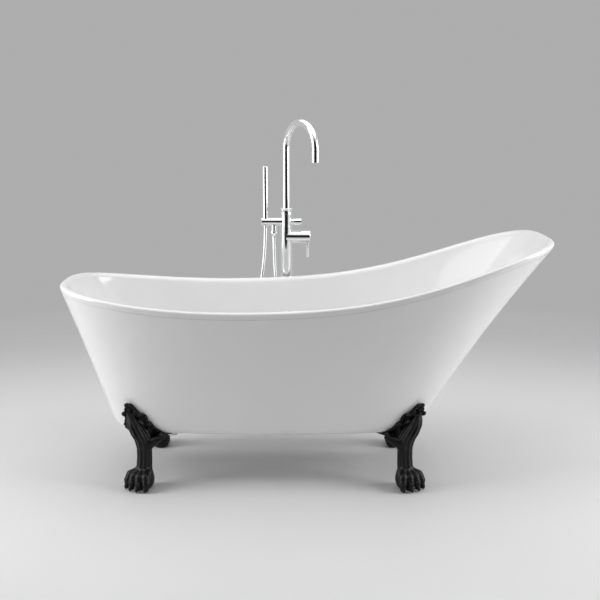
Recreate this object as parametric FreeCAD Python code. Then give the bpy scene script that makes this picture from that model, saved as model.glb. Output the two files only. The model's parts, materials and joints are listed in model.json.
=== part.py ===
import FreeCAD, Part
import math
import os

# A freestanding double-skinned slipper bath on four cast claw feet, with its floor-standing filler.
# Millimetres, +Z up, floor at z = 0. +X points to the raised back rest, -Y to the person looking at it.

os.makedirs("parts", exist_ok=True)
V = FreeCAD.Vector
ORIGIN = V(0, 0, 0)
X, Y, Z = V(1, 0, 0), V(0, 1, 0), V(0, 0, 1)

# ---------------------------------------------------------------- driving dimensions of the bath
HALF_LENGTH = 850.0        # half the nominal length
RIM_ENDS = (-825.0, 834.0) # ends of the rim's crown line
LIP_REACH = 12.0           # the rolled rim's outer edge beyond its crown line
BATH_Y = -47.5             # centreline of the bath; the filler stands behind it
RIM_CENTRE = -56.7         # where the plan is widest apart from its taper
RIM_HALF_WIDTH = 345.6     # crown line, before the taper
RIM_TAPER = 0.088          # how much wider it gets towards the back rest
RIM_POWERS = (3.26, 3.81)  # squareness of the plan at its left and right ends
LOW_RIM = 631.0            # height of the crown line along the sides
BACK_RISE = 223.3          # further height of the back rest's crown line, if it ran on
RISE_START, RISE_END, RISE_POWER = -418.5, 974.7, 1.777
FOOT_RISE = 59.3           # lift of the rim at the foot end
FOOT_RISE_START, FOOT_RISE_RUN = -250.0, 600.0
SKIRT_BOTTOM = 186.0       # underside of the bath
SKIRT_WALL = 5.0
BOTTOM_CENTRE, BOTTOM_ENDS = -121.0, (-660.5, 415.5)
BOTTOM_HALF_WIDTH, BOTTOM_TAPER, BOTTOM_POWERS = 232.0, 0.036, (3.53, 3.53)
FLARE_LEFT, FLARE_SIDE, FLARE_RIGHT = 0.075, 0.097, 0.200     # how much the wall curves outwards
EDGE_DROP = 10.0           # the rim is widest this far below its crown
LIP_DROP = 22.0            # lower edge of the rim's lip
JOINT_LINE = 1.0           # visible gap between lip and skirt, filled with sealant
SHELL_WALL = 5.0
BASIN_FLOOR = 240.0        # top of the basin's floor
FLOOR_CENTRE, FLOOR_ENDS, FLOOR_HALF_WIDTH, FLOOR_POWERS = -115.0, (-600.0, 370.0), 190.0, (2.4, 2.4)
RING_POINTS = 60           # control points round every ring of the two shells

BOARD_THICKNESS = 18.0
BATTEN_PLACES = (-330.0, 150.0)
BATTEN_WIDTH, BATTEN_LENGTH = 60.0, 260.0

# ---------------------------------------------------------------- driving dimensions of the feet
LEFT_FOOT_X, RIGHT_FOOT_X, FOOT_Y = -556.0, 361.0, 236.0
FOOT_TURN = 40.0           # toes point this far from straight out, towards the near end
FOOT_GAP = 0.4             # paint gap between a foot and the skirt
LEAF_THICKNESS = 22.0
ARM_END = -238.0           # how far the foot's arm reaches under the bath
ARM_HALF_WIDTH, ARM_THICKNESS = 30.0, 14.0
FOOT_BOLT_PLACES = (-190.0, -222.0)
BOLT_RADIUS, BOLT_HOLE = 4.0, 4.5
WASHER_RADIUS, WASHER_THICKNESS = 8.0, 1.6
HEAD_FLATS, HEAD_HEIGHT = 13.0, 5.5
INSERT_RADIUS = 7.0
PAD_RADIUS, PAD_HEIGHT, PAD_RECESS = 18.0, 3.0, 2.0

# ---------------------------------------------------------------- driving dimensions of the waste
DRAIN_X = -470.0
WASTE_RADIUS, WASTE_END = 20.0, 120.0
WASTE_HOLE, SERVICE_HOLE = 26.0, 52.0      # in the basin's floor, and in the skirt's bottom below it
WASTE_RIM, WASTE_RISE = 35.0, 3.0          # the flange in the basin's floor
TAIL_RADIUS, TAIL_END = 24.5, 192.0
PLUG_RADIUS, PLUG_STEM, GUIDE_LEVEL = 23.0, 5.0, 214.0
OVERFLOW_HEIGHT = 575.0
OVERFLOW_HOLE = 23.0
OVERFLOW_PIPE = 8.0
PIPE_LEVEL = 204.0

# ---------------------------------------------------------------- driving dimensions of the filler
RISER_X, RISER_Y = -64.0, BATH_Y + 415.0
FLANGE_RADIUS, FLANGE_HEIGHT = 60.0, 16.0
PLATE_RADIUS, PLATE_THICKNESS = 52.0, 8.0
PLATE_BOLT_CIRCLE, PLATE_BOLT_RADIUS = 42.0, 3.25
INLET_RADIUS, INLET_SPACING = 6.0, 24.0
COLUMN_RADIUS, COLUMN_BORE = 22.0, 18.0
BODY_FOOT = 600.0          # joint of column and valve body, hidden behind the bath
MIXER_HEIGHT, MIXER_RADIUS, MIXER_BORE = 781.0, 24.0, 19.0
PIPE_TOP = MIXER_HEIGHT - MIXER_BORE - 14  # the supply pipes end in the valve body here
PIPE_OFFSET = 9.0          # of each supply pipe from the column's axis
WATERWAY, OUTLET_WAY = 7.0, 5.0            # bore radii up to the spout and across to the hose
SEAM_X = -3.0              # where the turning handle meets the mixer body
HUB_LENGTH = 31.0
PIVOT_DEPTH = 20.0         # the handle rocks about a point this far behind the seam
LEVER_RADIUS, LEVER_LENGTH = 6.0, 56.0
BAR_HEIGHT, BAR_RADIUS = 839.0, 15.5
BAR_END_X = -162.0
WAND_X, WAND_RADIUS, WAND_BORE, WAND_BOTTOM, WAND_TOP = -145.0, 10.25, 7.5, 828.0, 1051.0
WAND_NUT_LENGTH = 14.0
HOLDER_BORE = 10.9
HOSE_RADIUS, HOSE_BORE = 7.0, 4.5
HOSE_RIBS, HOSE_GROOVE = 200, 0.7
NIPPLE_X, NIPPLE_RADIUS, NIPPLE_LENGTH = -112.0, 10.0, 18.0
HOSE_NUT_LENGTH, HOSE_NUT_RADIUS = 20.0, 12.5
KNOB_START, KNOB_END, KNOB_RADIUS = -38.0, -6.0, 13.5
DIVERTER_BORE, KNOB_SOCKET = 8.0, 18.0     # the socket is as deep as this in the knob
COLLAR_BOTTOM, COLLAR_TOP, COLLAR_RADIUS = 865.0, 892.0, 25.5
SPOUT_RADIUS, SPOUT_BORE, SPOUT_BEND = 14.0, 12.0, 100.0
SPOUT_ARC_HEIGHT = 1118.0  # the gooseneck's half circle starts here
SPOUT_DROP = 42.0          # straight end below the half circle
SPOUT_TURN = -57.0         # heading of the spout, degrees from +X
SPOUT_FOOT = 850.0         # the spout's tail stands in the body down to here
SEAL_RADIUS, SEAL_HEIGHTS = 15.6, (853.0, 859.0)

# Free stretch of the shower hose, from the outlet's nut round its hanging loop and up to the wand.
HOSE_START = V(NIPPLE_X, RISER_Y, BAR_HEIGHT - BAR_RADIUS - 1.5 - NIPPLE_LENGTH - HOSE_NUT_LENGTH)
HOSE_END = V(WAND_X, RISER_Y, WAND_BOTTOM)
HOSE_ROUTE = [
    HOSE_START,
    V(-112, RISER_Y, 722),
    V(-106, RISER_Y - 11, 610),
    V(-97, RISER_Y - 28, 490),
    V(-87, RISER_Y - 43, 370),
    V(-79, RISER_Y - 53, 260),
    V(-76, RISER_Y - 55, 164),
    V(-107, RISER_Y - 53, 120),
    V(-156, RISER_Y - 48, 104),
    V(-205, RISER_Y - 42, 120),
    V(-236, RISER_Y - 36, 164),
    V(-233, RISER_Y - 26, 262),
    V(-209, RISER_Y - 14, 392),
    V(-178, RISER_Y - 7, 520),
    V(-155, RISER_Y - 3, 645),
    V(-145, RISER_Y, 765),
    HOSE_END,
]

ANGLES = [2 * math.pi * i / RING_POINTS for i in range(RING_POINTS)]
SLIP = 0.05                # clearance per side where one round piece sits in another


# ================================================================ helpers
def save(name, shape):
    shape.exportStep("parts/%s.step" % name)
    print("%-20s solids %d  volume %.1f cm3  valid %s" % (
        name, len(shape.Solids), shape.Volume / 1000, shape.isValid()))


def cylinder(radius, start, end):
    axis = end - start
    return Part.makeCylinder(radius, axis.Length, start, axis)


def tube(outer, bore, start, end):
    return cylinder(outer, start, end).cut(cylinder(bore, start, end))


def box(low, high):
    return Part.makeBox(high.x - low.x, high.y - low.y, high.z - low.z, low)


def turned(profile, base=ORIGIN, axis=Z):
    """Solid of revolution. The profile is (radius, height) pairs, closed in order."""
    points = [V(r, 0, h) for r, h in profile]
    face = Part.Face(Part.makePolygon(points + points[:1]))
    solid = face.revolve(ORIGIN, Z, 360)
    solid.Placement = FreeCAD.Placement(base, FreeCAD.Rotation(Z, axis))
    return solid


def fused(shapes):
    whole = shapes[0]
    for shape in shapes[1:]:
        whole = whole.fuse(shape)
    return whole.removeSplitter()


def rounded_path(points, share=0.45, bend=None):
    """Straight runs joined by tangent arcs; returns the wire and the arcs' radii."""
    edges, radii = [], []
    here = points[0]
    for before, corner, after in zip(points, points[1:], points[2:]):
        into, out = before - corner, after - corner
        half_turn = (math.pi - into.getAngle(out)) / 2
        if bend is None:
            radius = share * min(into.Length, out.Length) / math.tan(half_turn)
        else:
            radius = bend
        tangent = radius * math.tan(half_turn)
        into.normalize()
        out.normalize()
        start, end = corner + into * tangent, corner + out * tangent
        inward = (into + out).normalize()
        middle = corner + inward * (radius / math.cos(half_turn) - radius)
        edges.append(Part.LineSegment(here, start).toShape())
        edges.append(Part.Arc(start, middle, end).toShape())
        radii.append(radius)
        here = end
    edges.append(Part.LineSegment(here, points[-1]).toShape())
    return Part.Wire(edges), radii


def swept(wire, radius):
    start = wire.Edges[0].Vertexes[0].Point
    heading = wire.Edges[0].tangentAt(wire.Edges[0].FirstParameter)
    section = Part.Wire(Part.Circle(start, heading, radius).toShape())
    return wire.makePipeShell([section], True, False)


# ================================================================ the two shells
def oval(centre, ends, half_width, powers, taper=0.0):
    """Points (x, y) round a squarish oval, evenly spread in direction."""
    ring = []
    for angle in ANGLES:
        c, s = math.cos(angle), math.sin(angle)
        power = powers[1] if c > 0 else powers[0]
        reach = (abs(c) ** power + abs(s) ** power) ** (-1 / power)
        x = centre + abs((ends[1] if c > 0 else ends[0]) - centre) * reach * c
        ring.append((x, half_width * (1 + taper * x / HALF_LENGTH) * reach * s))
    return ring


def outset(ring, distance):
    """The ring moved outwards, square to itself, by distance."""
    moved = []
    for i, (x, y) in enumerate(ring):
        before, after = ring[i - 1], ring[(i + 1) % len(ring)]
        along_x, along_y = after[0] - before[0], after[1] - before[1]
        length = math.hypot(along_x, along_y)
        moved.append((x + distance * along_y / length, y - distance * along_x / length))
    return moved


def crown_height(x):
    """Height of the rim's crown line over the length."""
    rise = max(0.0, (x - RISE_START) / (RISE_END - RISE_START)) ** RISE_POWER
    back = BACK_RISE * (1 - math.cos(math.pi * rise)) / 2
    foot = FOOT_RISE * (max(0.0, FOOT_RISE_START - x) / FOOT_RISE_RUN) ** 2
    return LOW_RIM + back + foot


CROWN = oval(RIM_CENTRE, RIM_ENDS, RIM_HALF_WIDTH, RIM_POWERS, RIM_TAPER)
CROWN_Z = [crown_height(x) for x, y in CROWN]
EDGE = outset(CROWN, LIP_REACH)
BOTTOM = oval(BOTTOM_CENTRE, BOTTOM_ENDS, BOTTOM_HALF_WIDTH, BOTTOM_POWERS, BOTTOM_TAPER)
FLOOR = oval(FLOOR_CENTRE, FLOOR_ENDS, FLOOR_HALF_WIDTH, FLOOR_POWERS)
MOUTH_INSET, MOUTH_DROP = 24.0, 22.0
MOUTH = outset(CROWN, -MOUTH_INSET)


def level(ring, height):
    return [V(x, BATH_Y + y, height) for x, y in ring]


def rim_ring(reach, drop):
    """A ring that follows the rim: outwards of its crown line by reach, below it by drop."""
    return [V(x, BATH_Y + y, z - drop) for (x, y), z in zip(outset(CROWN, reach), CROWN_Z)]


def wall_ring(share, inset=0.0, drop=None):
    """A ring of the skirt at a share of its height, or at a drop below the crown line."""
    plan, heights = [], []
    for (ex, ey), (bx, by), crown, angle in zip(EDGE, BOTTOM, CROWN_Z, ANGLES):
        full = crown - EDGE_DROP - SKIRT_BOTTOM
        s = share if drop is None else 1 - (drop - EDGE_DROP) / full
        end_flare = FLARE_RIGHT if math.cos(angle) > 0 else FLARE_LEFT
        flare = FLARE_SIDE + (end_flare - FLARE_SIDE) * math.cos(angle) ** 2
        g = s * (1 - flare + flare * s)
        plan.append((bx + (ex - bx) * g, by + (ey - by) * g))
        heights.append(SKIRT_BOTTOM + full * s)
    return [V(x, BATH_Y + y, z) for (x, y), z in zip(outset(plan, -inset), heights)]


def basin_ring(depth, thickness=0.0):
    """A ring of the basin's wall, from its mouth (0) to the edge of its floor (1)."""
    plan = [(mx + (fx - mx) * depth, my + (fy - my) * depth) for (mx, my), (fx, fy) in zip(MOUTH, FLOOR)]
    heights = [z - MOUTH_DROP + (BASIN_FLOOR - z + MOUTH_DROP) * depth - thickness * depth for z in CROWN_Z]
    return [V(x, BATH_Y + y, z) for (x, y), z in zip(outset(plan, thickness), heights)]


def skin(rings, degree=3):
    """One smooth face whose control points are the rings; ruled if the degree is 1."""
    rings = list(rings)
    degree = min(degree, len(rings) - 1)
    around = list(range(RING_POINTS + 1))
    spans = len(rings) - degree
    surface = Part.BSplineSurface()
    surface.buildFromPolesMultsKnots(
        [[ring[i] for ring in rings] for i in range(RING_POINTS)],
        [1] * (RING_POINTS + 1), [degree + 1] + [1] * (spans - 1) + [degree + 1],
        around, list(range(spans + 1)), True, False, 3, degree)
    return surface.toShape()


def cap(ring):
    """Flat face inside a level ring."""
    curve = Part.BSplineCurve()
    curve.buildFromPolesMultsKnots(ring, [1] * (RING_POINTS + 1), list(range(RING_POINTS + 1)), True, 3)
    return Part.Face(Part.Wire(curve.toShape()))


def solid_of(faces):
    shell = Part.Shell(faces)
    shell.sewShape()
    solid = Part.Solid(shell)
    if solid.Volume < 0:
        solid.reverse()
    return solid


WALL_SHARES = (0.03, 0.08, 0.17, 0.28, 0.4, 0.55, 0.7, 0.85)
BOTTOM_INSETS = (60.0, 34.0, 10.0)
BASIN_DEPTHS = (0.16, 0.34, 0.52, 0.7, 0.84, 0.94)
FLOOR_INSETS = (32.0, 70.0, 95.0)


def skirt_rings(inset):
    """The skirt's control rings from its flat bottom up, moved inwards by inset."""
    rings = [level(outset(BOTTOM, -d), SKIRT_BOTTOM + inset) for d in BOTTOM_INSETS]
    rings += [wall_ring(share, inset) for share in WALL_SHARES]
    return rings


def skirt_envelope(gap):
    """All the space inside the skirt's outer face, grown by gap, as a cutting tool."""
    rings = skirt_rings(-gap)
    lid = [V(p.x, p.y, LOW_RIM + BACK_RISE) for p in rings[-1]]
    rings.append(lid)
    return solid_of([skin(rings), cap(rings[0]), cap(lid)])


def floor_rings(thickness):
    return [level(outset(FLOOR, thickness - d), BASIN_FLOOR - thickness) for d in FLOOR_INSETS]


def inner_shell():
    top = [wall_ring(0, 0, LIP_DROP), wall_ring(0, 0, 13.0), rim_ring(12.6, 3.5), rim_ring(3.0, -1.2),
           rim_ring(-10.0, 0.2), rim_ring(-20.0, 6.5), rim_ring(-MOUTH_INSET, MOUTH_DROP)]
    top += [basin_ring(depth) for depth in BASIN_DEPTHS] + floor_rings(0)
    t = SHELL_WALL
    under = [wall_ring(0, t, LIP_DROP), wall_ring(0, t, 14.0), rim_ring(6.5, 7.5), rim_ring(0, 4.6),
             rim_ring(-9.0, 5.8), rim_ring(-15.0, 11.5), rim_ring(-MOUTH_INSET + t, MOUTH_DROP + 3)]
    under += [basin_ring(depth, t) for depth in BASIN_DEPTHS] + floor_rings(t)
    lip = skin([top[0], under[0]], 1)
    shell = solid_of([skin(top), skin(under), lip, cap(top[-1]), cap(under[-1])])
    drain = V(DRAIN_X, BATH_Y, BASIN_FLOOR)
    waste_hole = cylinder(WASTE_HOLE, drain - Z * 20, drain + Z * 20)
    overflow_hole = cylinder(OVERFLOW_HOLE, overflow_point(-30), overflow_point(30))
    return shell.cut(waste_hole).cut(overflow_hole)


def outer_skirt():
    outside = skirt_rings(0) + [wall_ring(0, 0, LIP_DROP + JOINT_LINE)]
    inside = skirt_rings(SKIRT_WALL) + [wall_ring(0, SKIRT_WALL, LIP_DROP + JOINT_LINE)]
    edge = skin([outside[-1], inside[-1]], 1)
    shell = solid_of([skin(outside), skin(inside), edge, cap(outside[0]), cap(inside[0])])
    low = SKIRT_BOTTOM - 10
    opening = cylinder(SERVICE_HOLE, V(DRAIN_X, BATH_Y, low), V(DRAIN_X, BATH_Y, low + 30))
    shell = shell.cut(opening)
    for place in foot_bolt_places():
        shell = shell.cut(cylinder(BOLT_HOLE, V(place.x, place.y, low), V(place.x, place.y, low + 30)))
    return shell


def rim_joint():
    """Sealant line between lip and skirt, on the bonding strip that joins them from inside."""
    t = SKIRT_WALL
    drops = [(1.2, LIP_DROP), (t, LIP_DROP), (t, LIP_DROP - 6), (t + 4, LIP_DROP - 6),
             (t + 4, LIP_DROP + 24), (t, LIP_DROP + 24), (t, LIP_DROP + JOINT_LINE),
             (1.2, LIP_DROP + JOINT_LINE)]
    rings = [wall_ring(0, inset, drop) for inset, drop in drops]
    faces = [skin([a, b], 1) for a, b in zip(rings, rings[1:] + rings[:1])]
    return solid_of(faces)


def base_board():
    outline = cap(level(outset(BOTTOM, -BOTTOM_INSETS[0] - 4), SKIRT_BOTTOM + SKIRT_WALL))
    board = outline.extrude(Z * BOARD_THICKNESS)
    low = V(DRAIN_X, BATH_Y, SKIRT_BOTTOM)
    board = board.cut(cylinder(SERVICE_HOLE, low, low + Z * 60))
    slot = box(low + V(-160, -16, 0), low + V(0, 16, 60))
    board = board.cut(slot)
    for place in foot_bolt_places():
        board = board.cut(cylinder(INSERT_RADIUS, V(place.x, place.y, SKIRT_BOTTOM),
                                   V(place.x, place.y, SKIRT_BOTTOM + 60)))
    return board


def board_battens():
    low = SKIRT_BOTTOM + SKIRT_WALL + BOARD_THICKNESS
    battens = []
    for place in BATTEN_PLACES:
        corner = V(place - BATTEN_WIDTH / 2, BATH_Y - BATTEN_LENGTH / 2, low)
        battens.append(box(corner, corner + V(BATTEN_WIDTH, BATTEN_LENGTH, BASIN_FLOOR - SHELL_WALL - low)))
    return Part.makeCompound(battens)


# ================================================================ claw feet
FEET = {
    "foot_front_left": (-1, -1),
    "foot_front_right": (1, -1),
    "foot_back_left": (-1, 1),
    "foot_back_right": (1, 1),
}


def foot_centre(end, side):
    return V(RIGHT_FOOT_X if end > 0 else LEFT_FOOT_X, BATH_Y + side * FOOT_Y, 0)


def foot_placement(end, side):
    """Turns a foot made with its toes along +X to its own corner of the bath."""
    turn = side * (90 - end * FOOT_TURN)
    return FreeCAD.Placement(foot_centre(end, side), FreeCAD.Rotation(Z, turn))


def foot_bolt_places():
    return [foot_placement(end, side).multVec(V(reach, 0, 0))
            for end, side in FEET.values() for reach in FOOT_BOLT_PLACES]


def rod_between(start, end, start_radius, end_radius):
    """A tapered rod with round ends."""
    cone = Part.makeCone(start_radius, end_radius, (end - start).Length, start, end - start)
    return [Part.makeSphere(start_radius, start), Part.makeSphere(end_radius, end), cone]


def paw_and_leg():
    """Paw with four toes and the leg above it, toes along +X, standing on the floor."""
    sections = [(1, -2, 34, 38), (30, -2, 40, 40), (58, -6, 34, 34), (88, -14, 27, 27),
                (120, -23, 25.5, 26.5), (150, -32, 26, 28), (190, -38, 27, 32), (235, -36, 22, 30),
                (280, -34, 12, 18)]
    wires = []
    for height, reach, depth, width in sections:
        long_way, short_way = (X, Y) if depth >= width else (Y, X)
        curve = Part.Ellipse(V(reach, 0, height) + long_way * max(depth, width),
                             V(reach, 0, height) + short_way * (min(depth, width) - 0.01),
                             V(reach, 0, height))
        wires.append(Part.Wire(curve.toShape()))
    shapes = [Part.makeLoft(wires, True)]
    for turn in (-48, -17, 17, 48):
        out = V(math.cos(math.radians(turn)), math.sin(math.radians(turn)), 0)
        heel, knuckle, tip = out * 8 + Z * 58, out * 34 + Z * 42, out * 45 + Z * 14.5
        shapes += rod_between(heel, knuckle, 14, 14.5) + rod_between(knuckle, tip, 14.5, 11.5)
    return fused(shapes)


LEAF_OUTLINE = [(-14, 168), (-38, 214), (-46, 262), (-30, 298), (0, 272), (28, 250), (52, 222), (84, 196),
                (60, 172), (44, 150)]


LEAF_START_Y, LEAF_DEPTH = 150.0, 200.0


def leaf(end, side, clear, grown):
    """Leaf-shaped plate that hugs the skirt above the leg, drawn as seen from the side of the bath."""
    centre = foot_centre(end, side)
    points = [V(centre.x - end * dx, BATH_Y + side * LEAF_START_Y, z) for dx, z in LEAF_OUTLINE]
    curve = Part.BSplineCurve()
    curve.interpolate(points, PeriodicFlag=True)
    outline = Part.Face(Part.Wire(curve.toShape()))
    prism = outline.extrude(Y * side * LEAF_DEPTH)
    return grown.common(prism).cut(clear)


def claw_foot(end, side, body, clear, grown):
    arm = box(V(ARM_END, -ARM_HALF_WIDTH, SKIRT_BOTTOM - ARM_THICKNESS), V(-20, ARM_HALF_WIDTH, SKIRT_BOTTOM))
    foot = fused([body, arm])
    pad = cylinder(PAD_RADIUS, ORIGIN, V(0, 0, 1 + PAD_RECESS))
    foot = foot.cut(pad).cut(box(V(-200, -200, -50), V(200, 200, 1)))
    for reach in FOOT_BOLT_PLACES:
        foot = foot.cut(cylinder(BOLT_HOLE, V(reach, 0, 100), V(reach, 0, 200)))
    foot.Placement = foot_placement(end, side)
    return fused([foot.cut(clear), leaf(end, side, clear, grown)])


def foot_pads():
    return Part.makeCompound([Part.makeCylinder(PAD_RADIUS - 0.2, PAD_HEIGHT, foot_centre(end, side))
                              for end, side in FEET.values()])


ARM_UNDERSIDE = SKIRT_BOTTOM - ARM_THICKNESS
BOARD_TOP = SKIRT_BOTTOM + SKIRT_WALL + BOARD_THICKNESS


def hexagon(across_flats, base, height, axis=Z):
    corner = across_flats / math.sqrt(3)
    points = [V(corner * math.cos(math.radians(a)), corner * math.sin(math.radians(a)), 0)
              for a in range(0, 361, 60)]
    prism = Part.Face(Part.makePolygon(points)).extrude(Z * height)
    prism.Placement = FreeCAD.Placement(base, FreeCAD.Rotation(Z, axis))
    return prism


def foot_bolts():
    bolts = []
    for place in foot_bolt_places():
        under = V(place.x, place.y, ARM_UNDERSIDE - WASHER_THICKNESS)
        shank = cylinder(BOLT_RADIUS, under, V(place.x, place.y, BOARD_TOP))
        bolts.append(hexagon(HEAD_FLATS, under - Z * HEAD_HEIGHT, HEAD_HEIGHT).fuse(shank))
    return Part.makeCompound(bolts)


def foot_washers():
    washers = []
    for place in foot_bolt_places():
        top = V(place.x, place.y, ARM_UNDERSIDE)
        washers.append(tube(WASHER_RADIUS, BOLT_RADIUS + 0.2, top - Z * WASHER_THICKNESS, top))
    return Part.makeCompound(washers)


def thread_inserts():
    base = SKIRT_BOTTOM + SKIRT_WALL
    return Part.makeCompound([
        tube(INSERT_RADIUS, BOLT_RADIUS + SLIP, V(p.x, p.y, base), V(p.x, p.y, BOARD_TOP))
        for p in foot_bolt_places()])


# ================================================================ waste and overflow
def overflow_frame():
    """Centre of the overflow on the basin's end wall, and the wall's direction there."""
    upper = basin_ring(BASIN_DEPTHS[0])[RING_POINTS // 2]
    lower = basin_ring(BASIN_DEPTHS[2])[RING_POINTS // 2]
    share = (upper.z - OVERFLOW_HEIGHT) / (upper.z - lower.z)
    centre = upper + (lower - upper) * share
    down = (lower - upper).normalize()
    return centre, V(down.z, 0, -down.x)


def overflow_point(distance):
    centre, outwards = overflow_frame()
    return centre + outwards * distance


def drain_flange():
    """Flange in the basin's floor with a threaded tail and a bridge that guides the plug."""
    axis = V(DRAIN_X, BATH_Y, 0)
    top = BASIN_FLOOR + WASTE_RISE
    flange = turned([(0, top), (WASTE_RIM, top - 1.4), (WASTE_RIM, BASIN_FLOOR), (TAIL_RADIUS, BASIN_FLOOR),
                     (TAIL_RADIUS, TAIL_END), (0, TAIL_END)], axis)
    bore = turned([(0, top + 20), (24, top + 20), (24, top - 2), (19, top - 7), (19, TAIL_END - 10),
                   (0, TAIL_END - 10)], axis)
    centre = axis + Z * GUIDE_LEVEL
    bridge = box(centre + V(-21, -3, 0), centre + V(21, 3, 12))
    hub = cylinder(8, centre, centre + Z * 12)
    guide = cylinder(PLUG_STEM + 0.1, centre - Z * 5, centre + Z * 20)
    return fused([flange.cut(bore), bridge, hub]).cut(guide)


def drain_plug():
    top, seat, r = BASIN_FLOOR + 8, BASIN_FLOOR - 3.4, PLUG_RADIUS
    return turned([(0, top), (14, top - 0.8), (r - 1.5, top - 3), (r, top - 5), (r, seat + 5), (r - 5, seat),
                   (PLUG_STEM, seat), (PLUG_STEM, GUIDE_LEVEL - 9), (0, GUIDE_LEVEL - 9)],
                  V(DRAIN_X, BATH_Y, 0))


UNDERSIDE = BASIN_FLOOR - SHELL_WALL
TAIL_BORE = TAIL_RADIUS + 0.2              # of what is put over the waste's tail


def drain_gasket():
    top = V(DRAIN_X, BATH_Y, UNDERSIDE)
    return tube(WASTE_RIM, TAIL_BORE, top - Z * 4, top)


def drain_nut():
    base = V(DRAIN_X, BATH_Y, UNDERSIDE - 13)
    return hexagon(62, base, 9).cut(cylinder(TAIL_BORE, base - Z, base + Z * 20))


def drain_tee():
    """Socket under the waste, outlet tail below it and the overflow's inlet at its side."""
    low = V(DRAIN_X, BATH_Y, 0)
    side = low + Z * PIPE_LEVEL
    outside = fused([cylinder(28, low + Z * (TAIL_END - 2), low + Z * (TAIL_END + 27)),
                     cylinder(23, low + Z * (TAIL_END - 20), low + Z * TAIL_END),
                     cylinder(WASTE_RADIUS, low + Z * WASTE_END, low + Z * (TAIL_END - 18)),
                     cylinder(12, side - X * 46, side - X * 20)])
    tee = outside.cut(cylinder(TAIL_BORE, low + Z * TAIL_END, low + Z * (TAIL_END + 40)))
    tee = tee.cut(cylinder(WASTE_RADIUS - 3, low + Z * (WASTE_END - 10), low + Z * (TAIL_END + 40)))
    return tee.cut(cylinder(OVERFLOW_PIPE + 0.1, side - X * 60, side - X * 28))


def overflow_cover(shell):
    centre, outwards = overflow_frame()
    cover = turned([(0, -9), (28, -9), (33, -6), (33, 2), (29, 2), (29, -5.5), (22, -5.5), (22, 12), (17, 12),
                    (17, -5.5), (0, -5.5)], centre, outwards)
    slot = box(V(-4.5, -15, -10), V(4.5, 15, -5))          # lets the water in
    slot.Placement = FreeCAD.Placement(centre, FreeCAD.Rotation(Z, outwards))
    return cover.cut(slot).cut(shell)


def overflow_gasket(shell):
    return tube(30, 22.2, overflow_point(2), overflow_point(8)).cut(shell)


PIPE_CORNERS = [V(-668, BATH_Y, 262), V(-628, BATH_Y, PIPE_LEVEL), V(DRAIN_X - 29, BATH_Y, PIPE_LEVEL)]
PIPE_BEND, PIPE_WALL = 32.0, 1.5
ELBOW_DEPTH = 16.0


def overflow_pipe_line(distance):
    """A point on the pipe's upper run, measured from behind the overflow's centre."""
    start = overflow_point(ELBOW_DEPTH)
    return start + (PIPE_CORNERS[0] - start).normalize() * distance


def overflow_elbow():
    """Shallow chamber behind the overflow that turns the water down into the pipe."""
    chamber = cylinder(27, overflow_point(8), overflow_point(22))
    socket = cylinder(OVERFLOW_PIPE + 2, overflow_pipe_line(10), overflow_pipe_line(44))
    hollow = cylinder(22.2, overflow_point(7), overflow_point(14)).fuse(
        cylinder(24, overflow_point(13), overflow_point(20)))
    bore = cylinder(OVERFLOW_PIPE + 0.1, overflow_pipe_line(30), overflow_pipe_line(50))
    throat = cylinder(6.0, overflow_pipe_line(0), overflow_pipe_line(32))
    return chamber.fuse(socket).cut(hollow).cut(bore).cut(throat)


def overflow_pipe():
    path = rounded_path([overflow_pipe_line(30)] + PIPE_CORNERS, bend=PIPE_BEND)[0]
    return swept(path, OVERFLOW_PIPE).cut(swept(path, OVERFLOW_PIPE - PIPE_WALL))


# ================================================================ filler: column and valve body
def at_riser(dx, dy, z):
    return V(RISER_X + dx, RISER_Y + dy, z)


def floor_flange():
    """Cover cap over the mounting plate."""
    r, h = FLANGE_RADIUS, FLANGE_HEIGHT
    cover = turned([(COLUMN_RADIUS + 0.2, 0), (r, 0), (r, h - 5), (r - 1.5, h - 1.5), (r - 5, h),
                    (COLUMN_RADIUS + 4, h), (COLUMN_RADIUS + 0.2, h + 1.5)], at_riser(0, 0, 0))
    hollow = cylinder(PLATE_RADIUS + 1, at_riser(0, 0, -1), at_riser(0, 0, h - 3))
    return cover.cut(hollow)


def mounting_plate():
    plate = cylinder(PLATE_RADIUS, at_riser(0, 0, 0), at_riser(0, 0, PLATE_THICKNESS))
    for i in range(4):
        turn = math.radians(45 + 90 * i)
        hole = at_riser(PLATE_BOLT_CIRCLE * math.cos(turn), PLATE_BOLT_CIRCLE * math.sin(turn), -1)
        plate = plate.cut(cylinder(PLATE_BOLT_RADIUS, hole, hole + Z * 20))
    for side in (-1, 1):
        inlet = at_riser(side * INLET_SPACING / 2, 0, -1)
        plate = plate.cut(cylinder(INLET_RADIUS, inlet, inlet + Z * 20))
    return plate


def column():
    return tube(COLUMN_RADIUS, COLUMN_BORE, at_riser(0, 0, PLATE_THICKNESS), at_riser(0, 0, BODY_FOOT))


def supply_pipe(side):
    start = at_riser(side * PIPE_OFFSET, 0, PLATE_THICKNESS)
    return tube(5.0, 4.0, start, at_riser(side * PIPE_OFFSET, 0, PIPE_TOP))


NECK_FOOT = BAR_HEIGHT - BAR_RADIUS - 1.5
NIPPLE_TOP = BAR_HEIGHT - BAR_RADIUS + 3.0


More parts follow.
